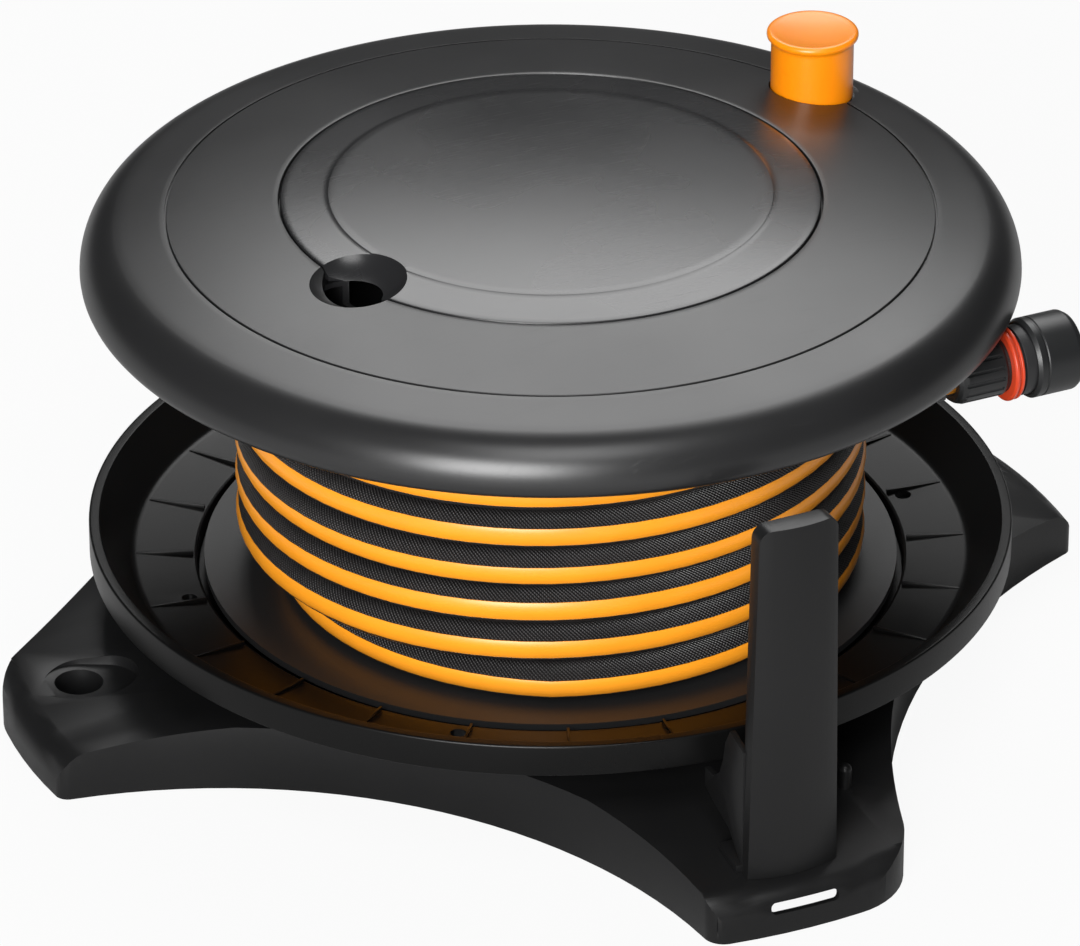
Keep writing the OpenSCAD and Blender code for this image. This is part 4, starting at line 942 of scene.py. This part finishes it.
class REEL_OT_stage(Operator):
    """Lay the pale floor and hang the plain soft lights"""
    bl_idname = "reel.stage"
    bl_label = "Floor and Lights"

    def execute(self, context):
        settings = context.scene.reel_stage
        clear_selection()
        hair_below = -0.0002
        bpy.ops.mesh.primitive_plane_add(size=settings.floor_size, location=(0, 0, hair_below))
        floor = bpy.context.object
        floor.name = "floor"
        n = Nodes("pale_floor")
        n.set(Base_Color=rgba(settings.floor), Roughness=0.9, Specular_IOR_Level=0.1)
        glow = n.add("Emission", {"Color": (1, 1, 1, 1), "Strength": 1.0})
        seen = n.add("LightPath")
        mix = n.add("MixShader", {0: n.math("MULTIPLY", seen.outputs["Is Camera Ray"], FLOOR_WHITE),
                                  1: n.skin.outputs[0], 2: glow.outputs[0]})
        n.tree.links.new(mix.outputs[0], n.tree.nodes["Material Output"].inputs["Surface"])
        floor.data.materials.append(n.material)

        world = bpy.data.worlds.new("studio")
        world.use_nodes = True
        tree = world.node_tree
        ground = tree.nodes["Background"]
        ground.inputs["Color"].default_value = (0.95, 0.97, 1, 1)
        ground.inputs["Strength"].default_value = WORLD_GLOW
        white = tree.nodes.new("ShaderNodeBackground")
        white.inputs["Color"].default_value = (1, 1, 1, 1)
        white.inputs["Strength"].default_value = 1.0
        path = tree.nodes.new("ShaderNodeLightPath")
        mixer = tree.nodes.new("ShaderNodeMixShader")
        tree.links.new(path.outputs["Is Camera Ray"], mixer.inputs[0])
        tree.links.new(ground.outputs[0], mixer.inputs[1])
        tree.links.new(white.outputs[0], mixer.inputs[2])
        tree.links.new(mixer.outputs[0], tree.nodes["World Output"].inputs["Surface"])
        context.scene.world = world

        for name, place, aim, size, power in LAMPS:
            data = bpy.data.lights.new(name, "AREA")
            data.shape, data.size, data.energy = "SQUARE", size, power
            lamp = bpy.data.objects.new(name, data)
            context.collection.objects.link(lamp)
            lamp.location = place
            lamp.rotation_euler = facing(place, aim)
        context.scene.view_settings.view_transform = "Standard"
        return {"FINISHED"}


class REEL_PT_sidebar(Panel):
    """Sizes, colours and steps of the reel"""
    bl_label = "Garden Hose Reel"
    bl_idname = "REEL_PT_sidebar"
    bl_space_type = "VIEW_3D"
    bl_region_type = "UI"
    bl_category = "Hose Reel"

    def draw(self, context):
        layout = self.layout
        for title, settings, steps in PANEL_ROWS:
            box = layout.box()
            box.label(text=title)
            group = getattr(context.scene, settings)
            for prop in group.__annotations__:
                box.prop(group, prop)
            for step in steps:
                box.operator(step)


PANEL_ROWS = (
    ("Hose", "reel_hose", ("reel.hose_end", "reel.hose")),
    ("Lid and knob", "reel_lid", ("reel.lid", "reel.cover", "reel.bin", "reel.knob")),
    ("Stand", "reel_stand", ("reel.tray", "reel.stand", "reel.works")),
    ("Stage", "reel_stage", ("reel.camera", "reel.stage")),
)
CLASSES = (
    HoseSettings, LidSettings, StandSettings, StageSettings,
    REEL_OT_camera, REEL_OT_hose_end, REEL_OT_hose, REEL_OT_lid, REEL_OT_cover, REEL_OT_bin, REEL_OT_knob,
    REEL_OT_tray, REEL_OT_stand, REEL_OT_works, REEL_OT_stage, REEL_PT_sidebar,
)
SETTINGS = {"reel_hose": HoseSettings, "reel_lid": LidSettings, "reel_stand": StandSettings,
            "reel_stage": StageSettings}


def register():
    for cls in CLASSES:
        bpy.utils.register_class(cls)
    for name, kind in SETTINGS.items():
        setattr(bpy.types.Scene, name, PointerProperty(type=kind))


def unregister():
    for name in SETTINGS:
        delattr(bpy.types.Scene, name)
    for cls in reversed(CLASSES):
        bpy.utils.unregister_class(cls)


def main():
    register()
    bpy.ops.reel.camera()
    bpy.ops.reel.hose_end()
    bpy.ops.reel.hose()
    bpy.ops.reel.lid()
    bpy.ops.reel.cover()
    bpy.ops.reel.bin()
    bpy.ops.reel.knob()
    bpy.ops.reel.tray()
    bpy.ops.reel.stand()
    bpy.ops.reel.works()
    bpy.ops.reel.stage()


if __name__ == "__main__":
    main()
